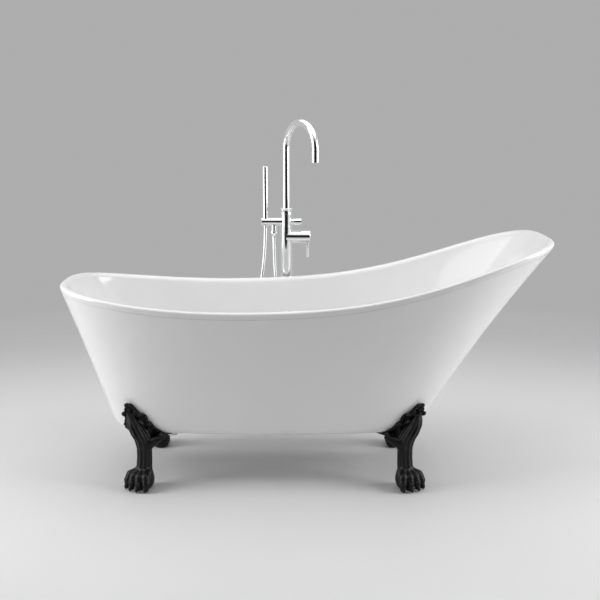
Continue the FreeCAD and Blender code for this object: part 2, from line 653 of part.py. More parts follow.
def filler_body():
    """One casting: upper column, mixer housing to the right, crossbar to the left, boss for the diverter."""
    trunk = cylinder(COLUMN_RADIUS, at_riser(0, 0, BODY_FOOT), at_riser(0, 0, NECK_FOOT))
    neck = cylinder(20.5, at_riser(0, 0, NECK_FOOT - 1), at_riser(0, 0, COLLAR_BOTTOM))
    pivot = V(SEAM_X - PIVOT_DEPTH, RISER_Y, MIXER_HEIGHT)
    mixer = at_riser(0, 0, MIXER_HEIGHT)
    housing = cylinder(MIXER_RADIUS, mixer, V(SEAM_X + 12, RISER_Y, MIXER_HEIGHT))
    ball = Part.makeSphere(math.hypot(PIVOT_DEPTH, MIXER_RADIUS), pivot)
    housing = housing.common(ball.fuse(cylinder(MIXER_RADIUS + 1, mixer - X, pivot)))
    bar_end = V(BAR_END_X + BAR_RADIUS, RISER_Y, BAR_HEIGHT)
    bar = cylinder(BAR_RADIUS, bar_end, at_riser(0, 0, BAR_HEIGHT))
    r = BAR_RADIUS
    bar_nose = turned([(0, 0), (r, 0), (r, r - 3), (r - 3, r), (0, r)], bar_end, V(-1, 0, 0))
    boss = cylinder(11.0, at_riser(0, 0, BAR_HEIGHT), V(KNOB_START - 0.4, RISER_Y, BAR_HEIGHT))
    body = fused([trunk, neck, housing, bar, bar_nose, boss])
    # hollows: pipe space, valve bore, riser bore, diverter bore, water way to the nipple, wand holder
    cuts = [
        cylinder(COLUMN_BORE, at_riser(0, 0, BODY_FOOT - 1), at_riser(0, 0, PIPE_TOP)),
        cylinder(MIXER_BORE, mixer + X * 6, V(SEAM_X + 20, RISER_Y, MIXER_HEIGHT)),
        cylinder(WATERWAY, mixer, at_riser(0, 0, COLLAR_BOTTOM)),
        cylinder(WATERWAY, mixer, mixer + X * 10),
        cylinder(SPOUT_RADIUS + SLIP, at_riser(0, 0, SPOUT_FOOT), at_riser(0, 0, COLLAR_BOTTOM + 1)),
        cylinder(NIPPLE_RADIUS, V(NIPPLE_X, RISER_Y, BAR_HEIGHT - 30), V(NIPPLE_X, RISER_Y, NIPPLE_TOP)),
        cylinder(DIVERTER_BORE, at_riser(-6, 0, BAR_HEIGHT), V(KNOB_START + 1, RISER_Y, BAR_HEIGHT)),
        cylinder(OUTLET_WAY, V(NIPPLE_X, RISER_Y, BAR_HEIGHT), at_riser(-6, 0, BAR_HEIGHT)),
        cylinder(6.0, V(NIPPLE_X, RISER_Y, BAR_HEIGHT), V(NIPPLE_X, RISER_Y, BAR_HEIGHT - 30)),
        cylinder(HOLDER_BORE, V(WAND_X, RISER_Y, WAND_BOTTOM), V(WAND_X, RISER_Y, BAR_HEIGHT + 30)),
        cylinder(HOSE_RADIUS + 1.5, V(WAND_X, RISER_Y, BAR_HEIGHT - 30), V(WAND_X, RISER_Y, BAR_HEIGHT)),
    ]
    for side in (-1, 1):
        cuts.append(cylinder(4.0, at_riser(side * PIPE_OFFSET, 0, PIPE_TOP - 1),
                             at_riser(side * PIPE_OFFSET, 0, MIXER_HEIGHT)))
    for height in SEAL_HEIGHTS:
        cuts.append(cylinder(SEAL_RADIUS + SLIP, at_riser(0, 0, height - 0.1), at_riser(0, 0, height + 2.5)))
    return body.cut(cuts)


def riser_collar():
    """Flared ring that clamps the spout, with a groove round its foot."""
    r, low, high = COLLAR_RADIUS, COLLAR_BOTTOM, COLLAR_TOP
    bore = SPOUT_RADIUS + SLIP
    return turned([(bore, low), (21.5, low), (21.5, low + 3), (20.8, low + 3), (20.8, low + 4.5),
                   (22.0, low + 5), (21.2, low + 12), (21.6, low + 19), (23.2, low + 24), (r, high - 1),
                   (r - 0.8, high), (bore + 1.0, high), (bore, high - 1)], at_riser(0, 0, 0))


# ================================================================ spout
def spout_heading():
    turn = math.radians(SPOUT_TURN)
    return V(math.cos(turn), math.sin(turn), 0)


SPOUT_OUTLET = at_riser(0, 0, SPOUT_ARC_HEIGHT - SPOUT_DROP) + spout_heading() * (2 * SPOUT_BEND)


def spout_line(start_height, end_height):
    foot, top = at_riser(0, 0, start_height), at_riser(0, 0, SPOUT_ARC_HEIGHT)
    far_top = top + spout_heading() * (2 * SPOUT_BEND)
    crest = top + spout_heading() * SPOUT_BEND + Z * SPOUT_BEND
    return Part.Wire([Part.LineSegment(foot, top).toShape(), Part.Arc(top, crest, far_top).toShape(),
                      Part.LineSegment(far_top, V(far_top.x, far_top.y, end_height)).toShape()])


def spout():
    line = spout_line(SPOUT_FOOT, SPOUT_OUTLET.z)
    outside = swept(line, SPOUT_RADIUS)
    inside = swept(line, SPOUT_BORE)
    return outside.cut(inside)


def aerator():
    """Housing of the outlet's jet regulator, flush in the spout's end."""
    return tube(SPOUT_BORE - SLIP, 9.0, SPOUT_OUTLET + Z, SPOUT_OUTLET + Z * 12)


def aerator_screen():
    low = SPOUT_OUTLET.z + 2.5
    place = V(SPOUT_OUTLET.x, SPOUT_OUTLET.y, low)
    disc = Part.makeCylinder(8.9, 2.0, place)
    for ring, count in ((3.0, 6), (6.2, 12)):
        for i in range(count):
            turn = 2 * math.pi * i / count
            hole = place + V(ring * math.cos(turn), ring * math.sin(turn), -1)
            disc = disc.cut(Part.makeCylinder(0.9, 5, hole))
    return disc


def spout_seals():
    """Two O-rings round the spout's tail, in the valve body."""
    rings = []
    for height in SEAL_HEIGHTS:
        low = at_riser(0, 0, height)
        rings.append(tube(SEAL_RADIUS, SPOUT_RADIUS + SLIP, low, low + Z * 2.4))
    return Part.makeCompound(rings)


# ================================================================ mixer
PIVOT = V(SEAM_X - PIVOT_DEPTH, RISER_Y, MIXER_HEIGHT)
SEAT_RADIUS = math.hypot(PIVOT_DEPTH, MIXER_RADIUS)
BALL_RADIUS = 7.0
STEM_RADIUS, STEM_LENGTH = 4.0, 38.0
CARRIER_RADIUS = 11.0


def along_mixer(distance):
    """A point on the mixer's axis, measured from the handle's pivot towards the handle."""
    return PIVOT + X * distance


def cartridge():
    """Ceramic cartridge: fixed sleeve and base that hold the turning carrier."""
    sleeve = tube(MIXER_BORE - SLIP, CARRIER_RADIUS + SLIP, along_mixer(-30), along_mixer(6))
    base = tube(CARRIER_RADIUS + SLIP, 5.0, along_mixer(-30), along_mixer(-14.3))
    return sleeve.fuse(base)


def cartridge_nut():
    return tube(MIXER_BORE - SLIP, 13.0, along_mixer(6), along_mixer(13))


def valve_carrier():
    """Disc that turns for hot and cold, with the socket in which the handle's ball rocks."""
    disc = cylinder(CARRIER_RADIUS, along_mixer(-14), along_mixer(0))
    disc = disc.cut(Part.makeSphere(BALL_RADIUS + 0.3, PIVOT))
    port = cylinder(2.5, along_mixer(-15), along_mixer(0))
    return disc.cut(port)


def valve_stem():
    """Stem with a ball at its foot, turned in one piece."""
    neck = math.sqrt(BALL_RADIUS ** 2 - STEM_RADIUS ** 2)
    foot, equator, shoulder = V(0, 0, -BALL_RADIUS), V(BALL_RADIUS, 0, 0), V(STEM_RADIUS, 0, neck)
    top, axis_top = V(STEM_RADIUS, 0, STEM_LENGTH), V(0, 0, STEM_LENGTH)
    outline = Part.Wire([Part.Arc(foot, equator, shoulder).toShape(), Part.makeLine(shoulder, top),
                         Part.makeLine(top, axis_top), Part.makeLine(axis_top, foot)])
    stem = Part.Face(outline).revolve(ORIGIN, Z, 360)
    stem.Placement = FreeCAD.Placement(PIVOT, FreeCAD.Rotation(Z, X))
    return stem


def handle_hub():
    """Round cap over the cartridge; its hollow back face rocks on the housing's round end."""
    start, end = SEAM_X - 1, SEAM_X + HUB_LENGTH + 0.3
    r = MIXER_RADIUS
    length = end - start
    hub = turned([(0, 0), (r, 0), (r, length - 1.5), (r - 0.5, length - 0.5), (r - 1.5, length), (0, length)],
                 V(start, RISER_Y, MIXER_HEIGHT), X)
    hub = hub.cut(Part.makeSphere(SEAT_RADIUS + 0.3, PIVOT))
    hub = hub.cut(cylinder(STEM_RADIUS + SLIP, along_mixer(0), along_mixer(STEM_LENGTH + 0.1)))
    return hub.cut(lever_hole()).cut(grub_hole())


LEVER_X = SEAM_X + 21.0
GRUB_X = SEAM_X + 15.0
STUD_RADIUS, GRUB_RADIUS = 4.0, 3.0


def lever_hole():
    top = V(LEVER_X, RISER_Y, MIXER_HEIGHT - 12)
    return cylinder(STUD_RADIUS + SLIP, top, top - Z * 30)


def grub_hole():
    low = V(GRUB_X, RISER_Y + 4, MIXER_HEIGHT)
    return cylinder(GRUB_RADIUS + SLIP, low, low + Y * 30)


def grub_screw():
    low = V(GRUB_X, RISER_Y + 4.2, MIXER_HEIGHT)
    screw = cylinder(GRUB_RADIUS, low, low + Y * 17)
    return screw.cut(hexagon(3.0, low + Y * 12, 10, Y))


def pin_lever():
    top = V(LEVER_X, RISER_Y, MIXER_HEIGHT - 12.2)
    surface = MIXER_HEIGHT - MIXER_RADIUS - 0.3
    stud = cylinder(STUD_RADIUS, top, V(LEVER_X, RISER_Y, surface - 1))
    r, length = LEVER_RADIUS, LEVER_LENGTH
    pin = turned([(0, 0), (r, 0), (r, length - 1), (r - 1, length), (0, length)],
                 V(LEVER_X, RISER_Y, surface), V(0, 0, -1))
    return stud.fuse(pin)


# ================================================================ diverter
KNOB_FACE = V(KNOB_START, RISER_Y, BAR_HEIGHT)


def diverter_knob():
    """Grip at the crossbar's right end, a little wider at its outer end."""
    length = KNOB_END - KNOB_START
    r = KNOB_RADIUS
    knob = turned([(0, 0), (r - 1.7, 0), (r - 1.2, 0.8), (r - 0.9, length * 0.55), (r - 0.4, length - 5),
                   (r, length - 3), (r, length - 0.8), (r - 0.8, length), (0, length)],
                  KNOB_FACE, X)
    return knob.cut(cylinder(4.0, KNOB_FACE - X, KNOB_FACE + X * KNOB_SOCKET))


def diverter_spindle():
    """Half-round spindle that sends the water up to the spout or left to the hose."""
    start = at_riser(-5.5, 0, BAR_HEIGHT)
    drum = cylinder(DIVERTER_BORE - 0.1, start, KNOB_FACE - X * 8)
    passage = cylinder(OUTLET_WAY, start - X, start + X * 10)
    passage_up = cylinder(4.5, start + X * 5.5, start + X * 5.5 + Z * 12)
    stem = cylinder(3.95, KNOB_FACE - X * 8, KNOB_FACE + X * KNOB_SOCKET)
    return drum.cut(passage).cut(passage_up).fuse(stem)


def diverter_bush():
    return tube(DIVERTER_BORE - SLIP, 4.0 + SLIP, KNOB_FACE - X * 7.6, KNOB_FACE - X * 0.5)


# ================================================================ hand shower and hose
def hose_nipple():
    top = V(NIPPLE_X, RISER_Y, NIPPLE_TOP)
    low = V(NIPPLE_X, RISER_Y, HOSE_START.z + HOSE_NUT_LENGTH)
    return tube(NIPPLE_RADIUS, HOSE_BORE, low, top)


def hose_nut():
    """Conical union nut between the nipple and the hose."""
    length, r = HOSE_NUT_LENGTH, HOSE_NUT_RADIUS
    nut = turned([(0, 0), (HOSE_RADIUS + 0.8, 0), (r, 12.0), (r, length - 1), (r - 1, length), (0, length)],
                 HOSE_START)
    return nut.cut(cylinder(HOSE_BORE, HOSE_START - Z, HOSE_START + Z * (length + 1)))


def wand_nut():
    """Short conical nut on the wand's foot, seated in the holder."""
    length, r = WAND_NUT_LENGTH, HOLDER_BORE - 0.3
    nut = turned([(0, 0), (HOSE_RADIUS + 1.6, 0), (r, 8.0), (r, length), (0, length)], HOSE_END)
    return nut.cut(cylinder(HOSE_BORE, HOSE_END - Z, HOSE_END + Z * (length + 1)))


def hand_shower():
    foot = HOSE_END + Z * WAND_NUT_LENGTH
    length = WAND_TOP - foot.z
    r = WAND_RADIUS
    wand = turned([(0, 0), (r, 0), (r, length - 1.2), (r - 1.2, length), (0, length)], foot)
    wand = wand.cut(cylinder(WAND_BORE, foot - Z, foot + Z * (length - 4)))
    return wand.cut(spray_slot(0.0))


SPRAY_LOW, SPRAY_HIGH, SPRAY_HALF_WIDTH = WAND_TOP - 82.0, WAND_TOP - 14.0, 4.5


def spray_slot(shrink):
    """Slot in the wand's far side that holds the spray face."""
    low = V(WAND_X - SPRAY_HALF_WIDTH + shrink, RISER_Y + 2.0, SPRAY_LOW + shrink)
    high = V(WAND_X + SPRAY_HALF_WIDTH - shrink, RISER_Y + 14.0, SPRAY_HIGH - shrink)
    return box(low, high)


def spray_face():
    """Strip with two rows of raised nozzles."""
    low, high = V(WAND_X, RISER_Y, SPRAY_LOW - 5), V(WAND_X, RISER_Y, SPRAY_HIGH + 5)
    strip = spray_slot(0.1).common(tube(WAND_RADIUS - 0.3, WAND_BORE, low, high))
    for i in range(9):
        for side in (-1, 1):
            root = V(WAND_X + side * 2.2, RISER_Y + 8.0, SPRAY_LOW + 6 + 7 * i)
            strip = strip.fuse(Part.makeCone(1.1, 0.7, 2.6, root, Y))
    return strip


def place_on(wire, distance):
    """The point of a wire at a distance along it, and the wire's direction there."""
    for edge in wire.Edges:
        if distance <= edge.Length:
            break
        distance -= edge.Length
    parameter = edge.getParameterByLength(min(distance, edge.Length))
    return edge.valueAt(parameter), edge.tangentAt(parameter)


def hose_ring(wire, distance, radius):
    """A circle square to the hose, turned so that its seam stays on the hose's back."""
    point, heading = place_on(wire, distance)
    ring = Part.Circle(ORIGIN, Z, radius).toShape()
    ring.Placement = FreeCAD.Placement(point, FreeCAD.Rotation(Y, V(), heading, "ZXY"))
    return Part.Wire(ring)


def shower_hose():
    """Ribbed hose with its bore; each rib is a groove, a rise, a crest and a fall."""
    path, radii = rounded_path(HOSE_ROUTE)
    print("hose bends, mm:", ["%.0f" % r for r in radii])
    print("hose length %.0f mm" % path.Length)
    pitch = path.Length / HOSE_RIBS
    groove = HOSE_RADIUS - HOSE_GROOVE
    rings = []
    for rib in range(HOSE_RIBS):
        for share, radius in ((0.0, groove), (0.2, HOSE_RADIUS), (0.7, HOSE_RADIUS), (0.9, groove)):
            rings.append(hose_ring(path, (rib + share) * pitch, radius))
    rings.append(hose_ring(path, path.Length, groove))
    hose = Part.makeLoft(rings, True, True).cut(swept(path, HOSE_BORE))
    section = math.pi * ((groove ** 2 * 0.3 + HOSE_RADIUS ** 2 * 0.7) - HOSE_BORE ** 2)
    print("hose volume / (section x length) = %.4f" % (hose.Volume / (section * path.Length)))
    return hose


# ================================================================ the whole object
def make_bath():
    shell = inner_shell()
    save("inner_shell", shell)
    save("outer_skirt", outer_skirt())
    save("rim_joint", rim_joint())
    save("base_board", base_board())
    save("board_battens", board_battens())
    save("drain_flange", drain_flange())
    save("drain_plug", drain_plug())
    save("drain_gasket", drain_gasket())
    save("drain_nut", drain_nut())
    save("drain_tee", drain_tee())
    save("overflow_cover", overflow_cover(shell))
    save("overflow_gasket", overflow_gasket(shell))
    save("overflow_elbow", overflow_elbow())
    save("overflow_pipe", overflow_pipe())


def make_feet():
    body = paw_and_leg()
    clear, grown = skirt_envelope(FOOT_GAP), skirt_envelope(LEAF_THICKNESS)
    for name, (end, side) in FEET.items():
        save(name, claw_foot(end, side, body, clear, grown))
    save("foot_pads", foot_pads())
    save("foot_bolts", foot_bolts())
    save("foot_washers", foot_washers())
    save("thread_inserts", thread_inserts())


def make_filler():
    save("floor_flange", floor_flange())
    save("mounting_plate", mounting_plate())
    save("column", column())
    save("hot_supply_pipe", supply_pipe(-1))
    save("cold_supply_pipe", supply_pipe(1))
    save("filler_body", filler_body())
    save("riser_collar", riser_collar())
    save("spout", spout())
    save("spout_seals", spout_seals())
    save("aerator", aerator())
    save("aerator_screen", aerator_screen())
    save("cartridge", cartridge())
    save("cartridge_nut", cartridge_nut())
    save("valve_carrier", valve_carrier())
    save("valve_stem", valve_stem())
    save("handle_hub", handle_hub())
    save("pin_lever", pin_lever())
    save("grub_screw", grub_screw())
    save("diverter_knob", diverter_knob())
    save("diverter_spindle", diverter_spindle())
    save("diverter_bush", diverter_bush())
    save("hose_nipple", hose_nipple())
    save("hose_nut", hose_nut())
    save("shower_hose", shower_hose())
    save("wand_nut", wand_nut())
    save("hand_shower", hand_shower())
    save("spray_face", spray_face())


make_bath()
make_feet()
make_filler()
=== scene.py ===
# %% [markdown]
# A slipper bath on claw feet, with the filler that stands behind it
#
# The construction is already settled: every casting, pipe and screw comes in at its real size and
# place. This lesson gives those pieces their finish, and models the ones that a simple solid can't
# describe: the ribbed hose and the four cast feet. Lengths are metres, +Z is up and +X runs along
# the bath towards its raised back rest.

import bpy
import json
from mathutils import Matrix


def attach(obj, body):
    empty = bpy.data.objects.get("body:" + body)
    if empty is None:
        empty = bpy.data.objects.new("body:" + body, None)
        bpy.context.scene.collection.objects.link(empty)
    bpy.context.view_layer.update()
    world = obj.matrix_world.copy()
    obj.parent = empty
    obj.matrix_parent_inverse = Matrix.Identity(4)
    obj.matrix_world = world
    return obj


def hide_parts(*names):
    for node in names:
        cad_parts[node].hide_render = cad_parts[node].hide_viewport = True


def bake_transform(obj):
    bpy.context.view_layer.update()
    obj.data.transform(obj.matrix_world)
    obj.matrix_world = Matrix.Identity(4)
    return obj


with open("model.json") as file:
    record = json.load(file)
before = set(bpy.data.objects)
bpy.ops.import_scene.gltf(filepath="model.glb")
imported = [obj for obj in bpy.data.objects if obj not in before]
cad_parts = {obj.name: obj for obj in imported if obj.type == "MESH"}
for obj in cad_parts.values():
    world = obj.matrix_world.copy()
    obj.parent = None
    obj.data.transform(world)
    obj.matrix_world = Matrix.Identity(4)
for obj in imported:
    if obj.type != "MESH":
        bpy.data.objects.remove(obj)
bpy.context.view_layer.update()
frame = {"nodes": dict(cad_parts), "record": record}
print("pieces that come in:", len(frame["nodes"]))

# %% [markdown]
# The tools of the lesson
#
# Blender's own module builds objects, `mathutils` places them, and numpy works on many points at
# once, which is what makes a sculpted shape quick to compute.

# %% Modules
import math

import bpy
import numpy as np
from mathutils import Matrix, Vector
from mathutils.bvhtree import BVHTree

MM = 0.001

# %% [markdown]
# The camera
#
# It stands a little over waist height in front of the bath and looks slightly down. A longish lens
# from 3.6 m away keeps the two ends of the bath from spreading, as in a catalogue picture.

# %% Place the camera
BATH_Y = -0.0475
CAMERA_DISTANCE = 3.6
CAMERA_PLACE = Vector((-0.0115, BATH_Y - CAMERA_DISTANCE, 1.2913))
LOOK_DOWN = math.radians(10.72)
FOCAL_LENGTH, SENSOR = 62.56, 36.0

lens = bpy.data.cameras.new("catalogue_camera")
lens.lens, lens.sensor_width, lens.sensor_fit = FOCAL_LENGTH, SENSOR, "HORIZONTAL"
camera = bpy.data.objects.new("catalogue_camera", lens)
camera.location = CAMERA_PLACE
camera.rotation_euler = (math.radians(90) - LOOK_DOWN, 0, 0)
bpy.context.scene.collection.objects.link(camera)
bpy.context.scene.camera = camera
print("camera at", tuple(round(c, 3) for c in CAMERA_PLACE))

# %% [markdown]
# Small helpers for meshes
#
# Every modelled piece ends the same way: points and faces go into a mesh, and the mesh gets a name and
# smooth shading. The feet are also tied to the body that they move with.

# %% Helpers for meshes
def piece_from(name, points, faces, smooth=True):
    """A new object from points in metres and faces that number them."""
    mesh = bpy.data.meshes.new(name)
    mesh.from_pydata([tuple(p) for p in points], [], [tuple(f) for f in faces])
    mesh.validate()
    mesh.polygons.foreach_set("use_smooth", [smooth] * len(mesh.polygons))
    obj = bpy.data.objects.new(name, mesh)
    bpy.context.scene.collection.objects.link(obj)
    return obj


def tube_around(line, radii, sides):
    """Points and faces of a closed tube whose section follows the line without twisting."""
    line = [Vector(p) for p in line]
    ahead = (line[1] - line[0]).normalized()
    side = ahead.orthogonal().normalized()
    points, faces = [], []
    for i, centre in enumerate(line):
        tangent = (line[min(i + 1, len(line) - 1)] - line[max(i - 1, 0)]).normalized()
        side = (side - tangent * side.dot(tangent)).normalized()
        across = tangent.cross(side)
        for k in range(sides):
            turn = 2 * math.pi * k / sides
            points.append(centre + (side * math.cos(turn) + across * math.sin(turn)) * radii[i])
    for i in range(len(line) - 1):
        for k in range(sides):
            a, b = i * sides + k, i * sides + (k + 1) % sides
            faces.append((a, b, b + sides, a + sides))
    faces.append(tuple(reversed(range(sides))))
    faces.append(tuple(range(len(points) - sides, len(points))))
    return points, faces


# %% [markdown]
# The shower hose
#
# A shower hose with a metal cover is heavy and medium stiff. It leaves the outlet straight down,
# hangs in one loose loop behind the bath, and comes up into the foot of the hand shower. Its
# length is the 1.5 m that such hoses are sold in.

# %% Lay the hose's route
HOSE_DIAMETER = 0.014
RISER_Y = 0.3675
HOSE_ROUTE = [
    (-0.112, RISER_Y, 0.784),
    (-0.112, RISER_Y, 0.722),
    (-0.106, RISER_Y - 0.011, 0.610),
    (-0.097, RISER_Y - 0.028, 0.490),
    (-0.087, RISER_Y - 0.043, 0.370),
    (-0.079, RISER_Y - 0.053, 0.260),
    (-0.076, RISER_Y - 0.055, 0.164),
    (-0.107, RISER_Y - 0.053, 0.120),
    (-0.156, RISER_Y - 0.048, 0.104),
    (-0.205, RISER_Y - 0.042, 0.120),
    (-0.236, RISER_Y - 0.036, 0.164),
    (-0.233, RISER_Y - 0.026, 0.262),
    (-0.209, RISER_Y - 0.014, 0.392),
    (-0.178, RISER_Y - 0.007, 0.520),
    (-0.155, RISER_Y - 0.003, 0.645),
    (-0.145, RISER_Y, 0.765),
    (-0.145, RISER_Y, 0.828),
]
print("hose route:", len(HOSE_ROUTE), "points")

# %% [markdown]
# A smooth spline follows that route, as a bent hose does. Blender turns it into a line of points,
# which are then spaced evenly, so that the ribs come out alike all along the hose.

# %% Draw the hose's centreline
HOSE_STEP = 0.0007


def smooth_line(route, name):
    """Points along the smooth spline that the route's points control."""
    curve = bpy.data.curves.new(name, "CURVE")
    curve.dimensions = "3D"
    spline = curve.splines.new("NURBS")
    spline.points.add(len(route) - 1)
    for point, place in zip(spline.points, route):
        point.co = (*place, 1.0)
    spline.order_u = 3
    spline.use_endpoint_u = True
    spline.resolution_u = 24
    holder = bpy.data.objects.new(name, curve)
    bpy.context.scene.collection.objects.link(holder)
    line = bpy.data.meshes.new_from_object(holder)
    places = [v.co.copy() for v in line.vertices]
    bpy.data.objects.remove(holder)
    bpy.data.meshes.remove(line)
    return places


def even_steps(line, step):
    """The same line with points a fixed step apart."""
    line = np.array([tuple(p) for p in line])
    along = np.concatenate([[0], np.cumsum(np.linalg.norm(np.diff(line, axis=0), axis=1))])
    places = np.linspace(0, along[-1], max(2, round(along[-1] / step)) + 1)
    return np.column_stack([np.interp(places, along, line[:, k]) for k in range(3)]), along[-1]


hose_line, hose_length = even_steps(smooth_line(HOSE_ROUTE, "hose_route"), HOSE_STEP)
print("hose length %.3f m in %d steps" % (hose_length, len(hose_line) - 1))

# %% [markdown]
# Its surface is a strip of metal wound round and interlocked, which reads as fine ribs a few
# millimetres apart. The tube's radius simply rises and falls along the line; each rib is a round
# top with a narrow groove beside it, so that it catches one bright line.

# %% Model the hose
RIB_PITCH = 0.0042
RIB_DEPTH = 0.0009
HOSE_SIDES = 20
along = np.linspace(0, hose_length, len(hose_line))
rib = np.abs(np.sin(math.pi * along / RIB_PITCH)) ** 0.45
ends = np.clip(np.minimum(along, hose_length - along) / HOSE_DIAMETER - 0.4, 0, 1)
hose_radii = HOSE_DIAMETER / 2 - RIB_DEPTH * (1 - rib) * ends
points, faces = tube_around(hose_line, hose_radii, HOSE_SIDES)
hose = piece_from("shower_hose_ribbed", points, faces)
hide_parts("shower_hose")
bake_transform(hose)
print("hose ribs:", round(hose_length / RIB_PITCH))

# %% [markdown]
# The studio
#
# A pale floor, a tall soft box on each side and a wide one overhead. They stand level with the
# bath, not in front of it, so its two ends are brighter than the middle of its long side.

# %% Build the studio
FLOOR_HALF = 12
BATH_MIDDLE = Vector((0, BATH_Y, 0.5))
SIDE_BOX_REACH, SIDE_BOX_Y, SIDE_BOX_HEIGHT = 3.1, -0.8, 1.5
SIDE_BOX_SIZE, SIDE_BOX_WATTS = (1.8, 2.6), 80
TOP_BOX_PLACE, TOP_BOX_SIZE, TOP_BOX_WATTS = (0, 0.2, 3.5), (5.6, 4.2), 104


def stage_floor():
    """A level floor that isn't part of the object."""
    corners = [(x * FLOOR_HALF, y * FLOOR_HALF, 0) for x, y in ((-1, -1), (1, -1), (1, 1), (-1, 1))]
    floor = piece_from("studio_floor", corners, [(0, 1, 2, 3)], smooth=False)
    return floor


def soft_box(name, place, size, watts):
    """A rectangular area light that looks at the bath's middle."""
    light = bpy.data.lights.new(name, "AREA")
    light.shape, light.size, light.size_y, light.energy = "RECTANGLE", size[0], size[1], watts
    box = bpy.data.objects.new(name, light)
    box.location = place
    box.rotation_euler = (BATH_MIDDLE - Vector(place)).to_track_quat("-Z", "Y").to_euler()
    bpy.context.scene.collection.objects.link(box)


floor = stage_floor()
for side in (-1, 1):
    place = (side * SIDE_BOX_REACH, SIDE_BOX_Y, SIDE_BOX_HEIGHT)
    soft_box("side_box", place, SIDE_BOX_SIZE, SIDE_BOX_WATTS)
soft_box("top_box", TOP_BOX_PLACE, TOP_BOX_SIZE, TOP_BOX_WATTS)

# %% [markdown]
# Polished metal shows the room as much as its own colour. In its reflections the room is light all
# round and falls off into the dark towards the viewer, which puts a dark streak down the middle of
# every chrome tube. The room adds little light of its own, and its backdrop is one even grey.

# %% Light the room
ROOM_MIRRORED, ROOM_DARK = 0.58, 0.02        # what polished metal shows of the room
ROOM_GLOW, BACKDROP = 0.05, 0.42             # what the room sheds, and what the camera sees of it
DARK_FROM, DARK_FULL = 0.74, 0.90            # how squarely a direction points at the viewer

world = bpy.data.worlds.new("studio_room")
world.use_nodes = True
room, link = world.node_tree.nodes, world.node_tree.links.new
direction = room.new("ShaderNodeTexCoord")
split = room.new("ShaderNodeSeparateXYZ")
fall_off = room.new("ShaderNodeMapRange")
fall_off.interpolation_type = "SMOOTHSTEP"
limits = (-DARK_FULL, -DARK_FROM, ROOM_DARK, ROOM_MIRRORED)
for socket, value in zip(("From Min", "From Max", "To Min", "To Max"), limits):
    fall_off.inputs[socket].default_value = value
link(direction.outputs["Generated"], split.inputs[0])
link(split.outputs["Y"], fall_off.inputs["Value"])
brightness = fall_off.outputs["Result"]
ray = room.new("ShaderNodeLightPath")
for kind, value in (("Is Diffuse Ray", ROOM_GLOW), ("Is Camera Ray", BACKDROP)):
    choice = room.new("ShaderNodeMix")
    choice.inputs["B"].default_value = value
    link(ray.outputs[kind], choice.inputs["Factor"])
    link(brightness, choice.inputs["A"])
    brightness = choice.outputs["Result"]
link(brightness, room["Background"].inputs["Color"])
bpy.context.scene.world = world
bpy.context.scene.view_settings.view_transform = "Standard"
print("the room has", len(room), "nodes")

# %% [markdown]
# A short way to write shaders
#
# A finish is a small network of nodes. Writing its arithmetic as plain expressions keeps it
# readable, so `Wire` stands for one value in the network and understands + - and *. It needs
# Python's reflected forms too, because a number may come first, as in 1 - gone.

# %% A wire
class Wire:
    """One value in a material; arithmetic on it adds the Math node that does it."""

    def __init__(self, finish, socket):
        self.finish, self.socket = finish, socket

    def __add__(self, other):
        return self.finish.math("ADD", self, other)

    def __sub__(self, other):
        return self.finish.math("SUBTRACT", self, other)

    def __mul__(self, other):
        return self.finish.math("MULTIPLY", self, other)

    def __rsub__(self, other):
        return self.finish.math("SUBTRACT", other, self)

    __radd__, __rmul__ = __add__, __mul__


# %% [markdown]
# `Finish` is one material, and its `node` method adds any node that isn't plain arithmetic.
# Whatever varies over a surface goes to its colour, its roughness or its bumps; whatever is the
# same everywhere is set on the shader itself. Each finish is kept under the name of the stuff
# that the record gives to its pieces.

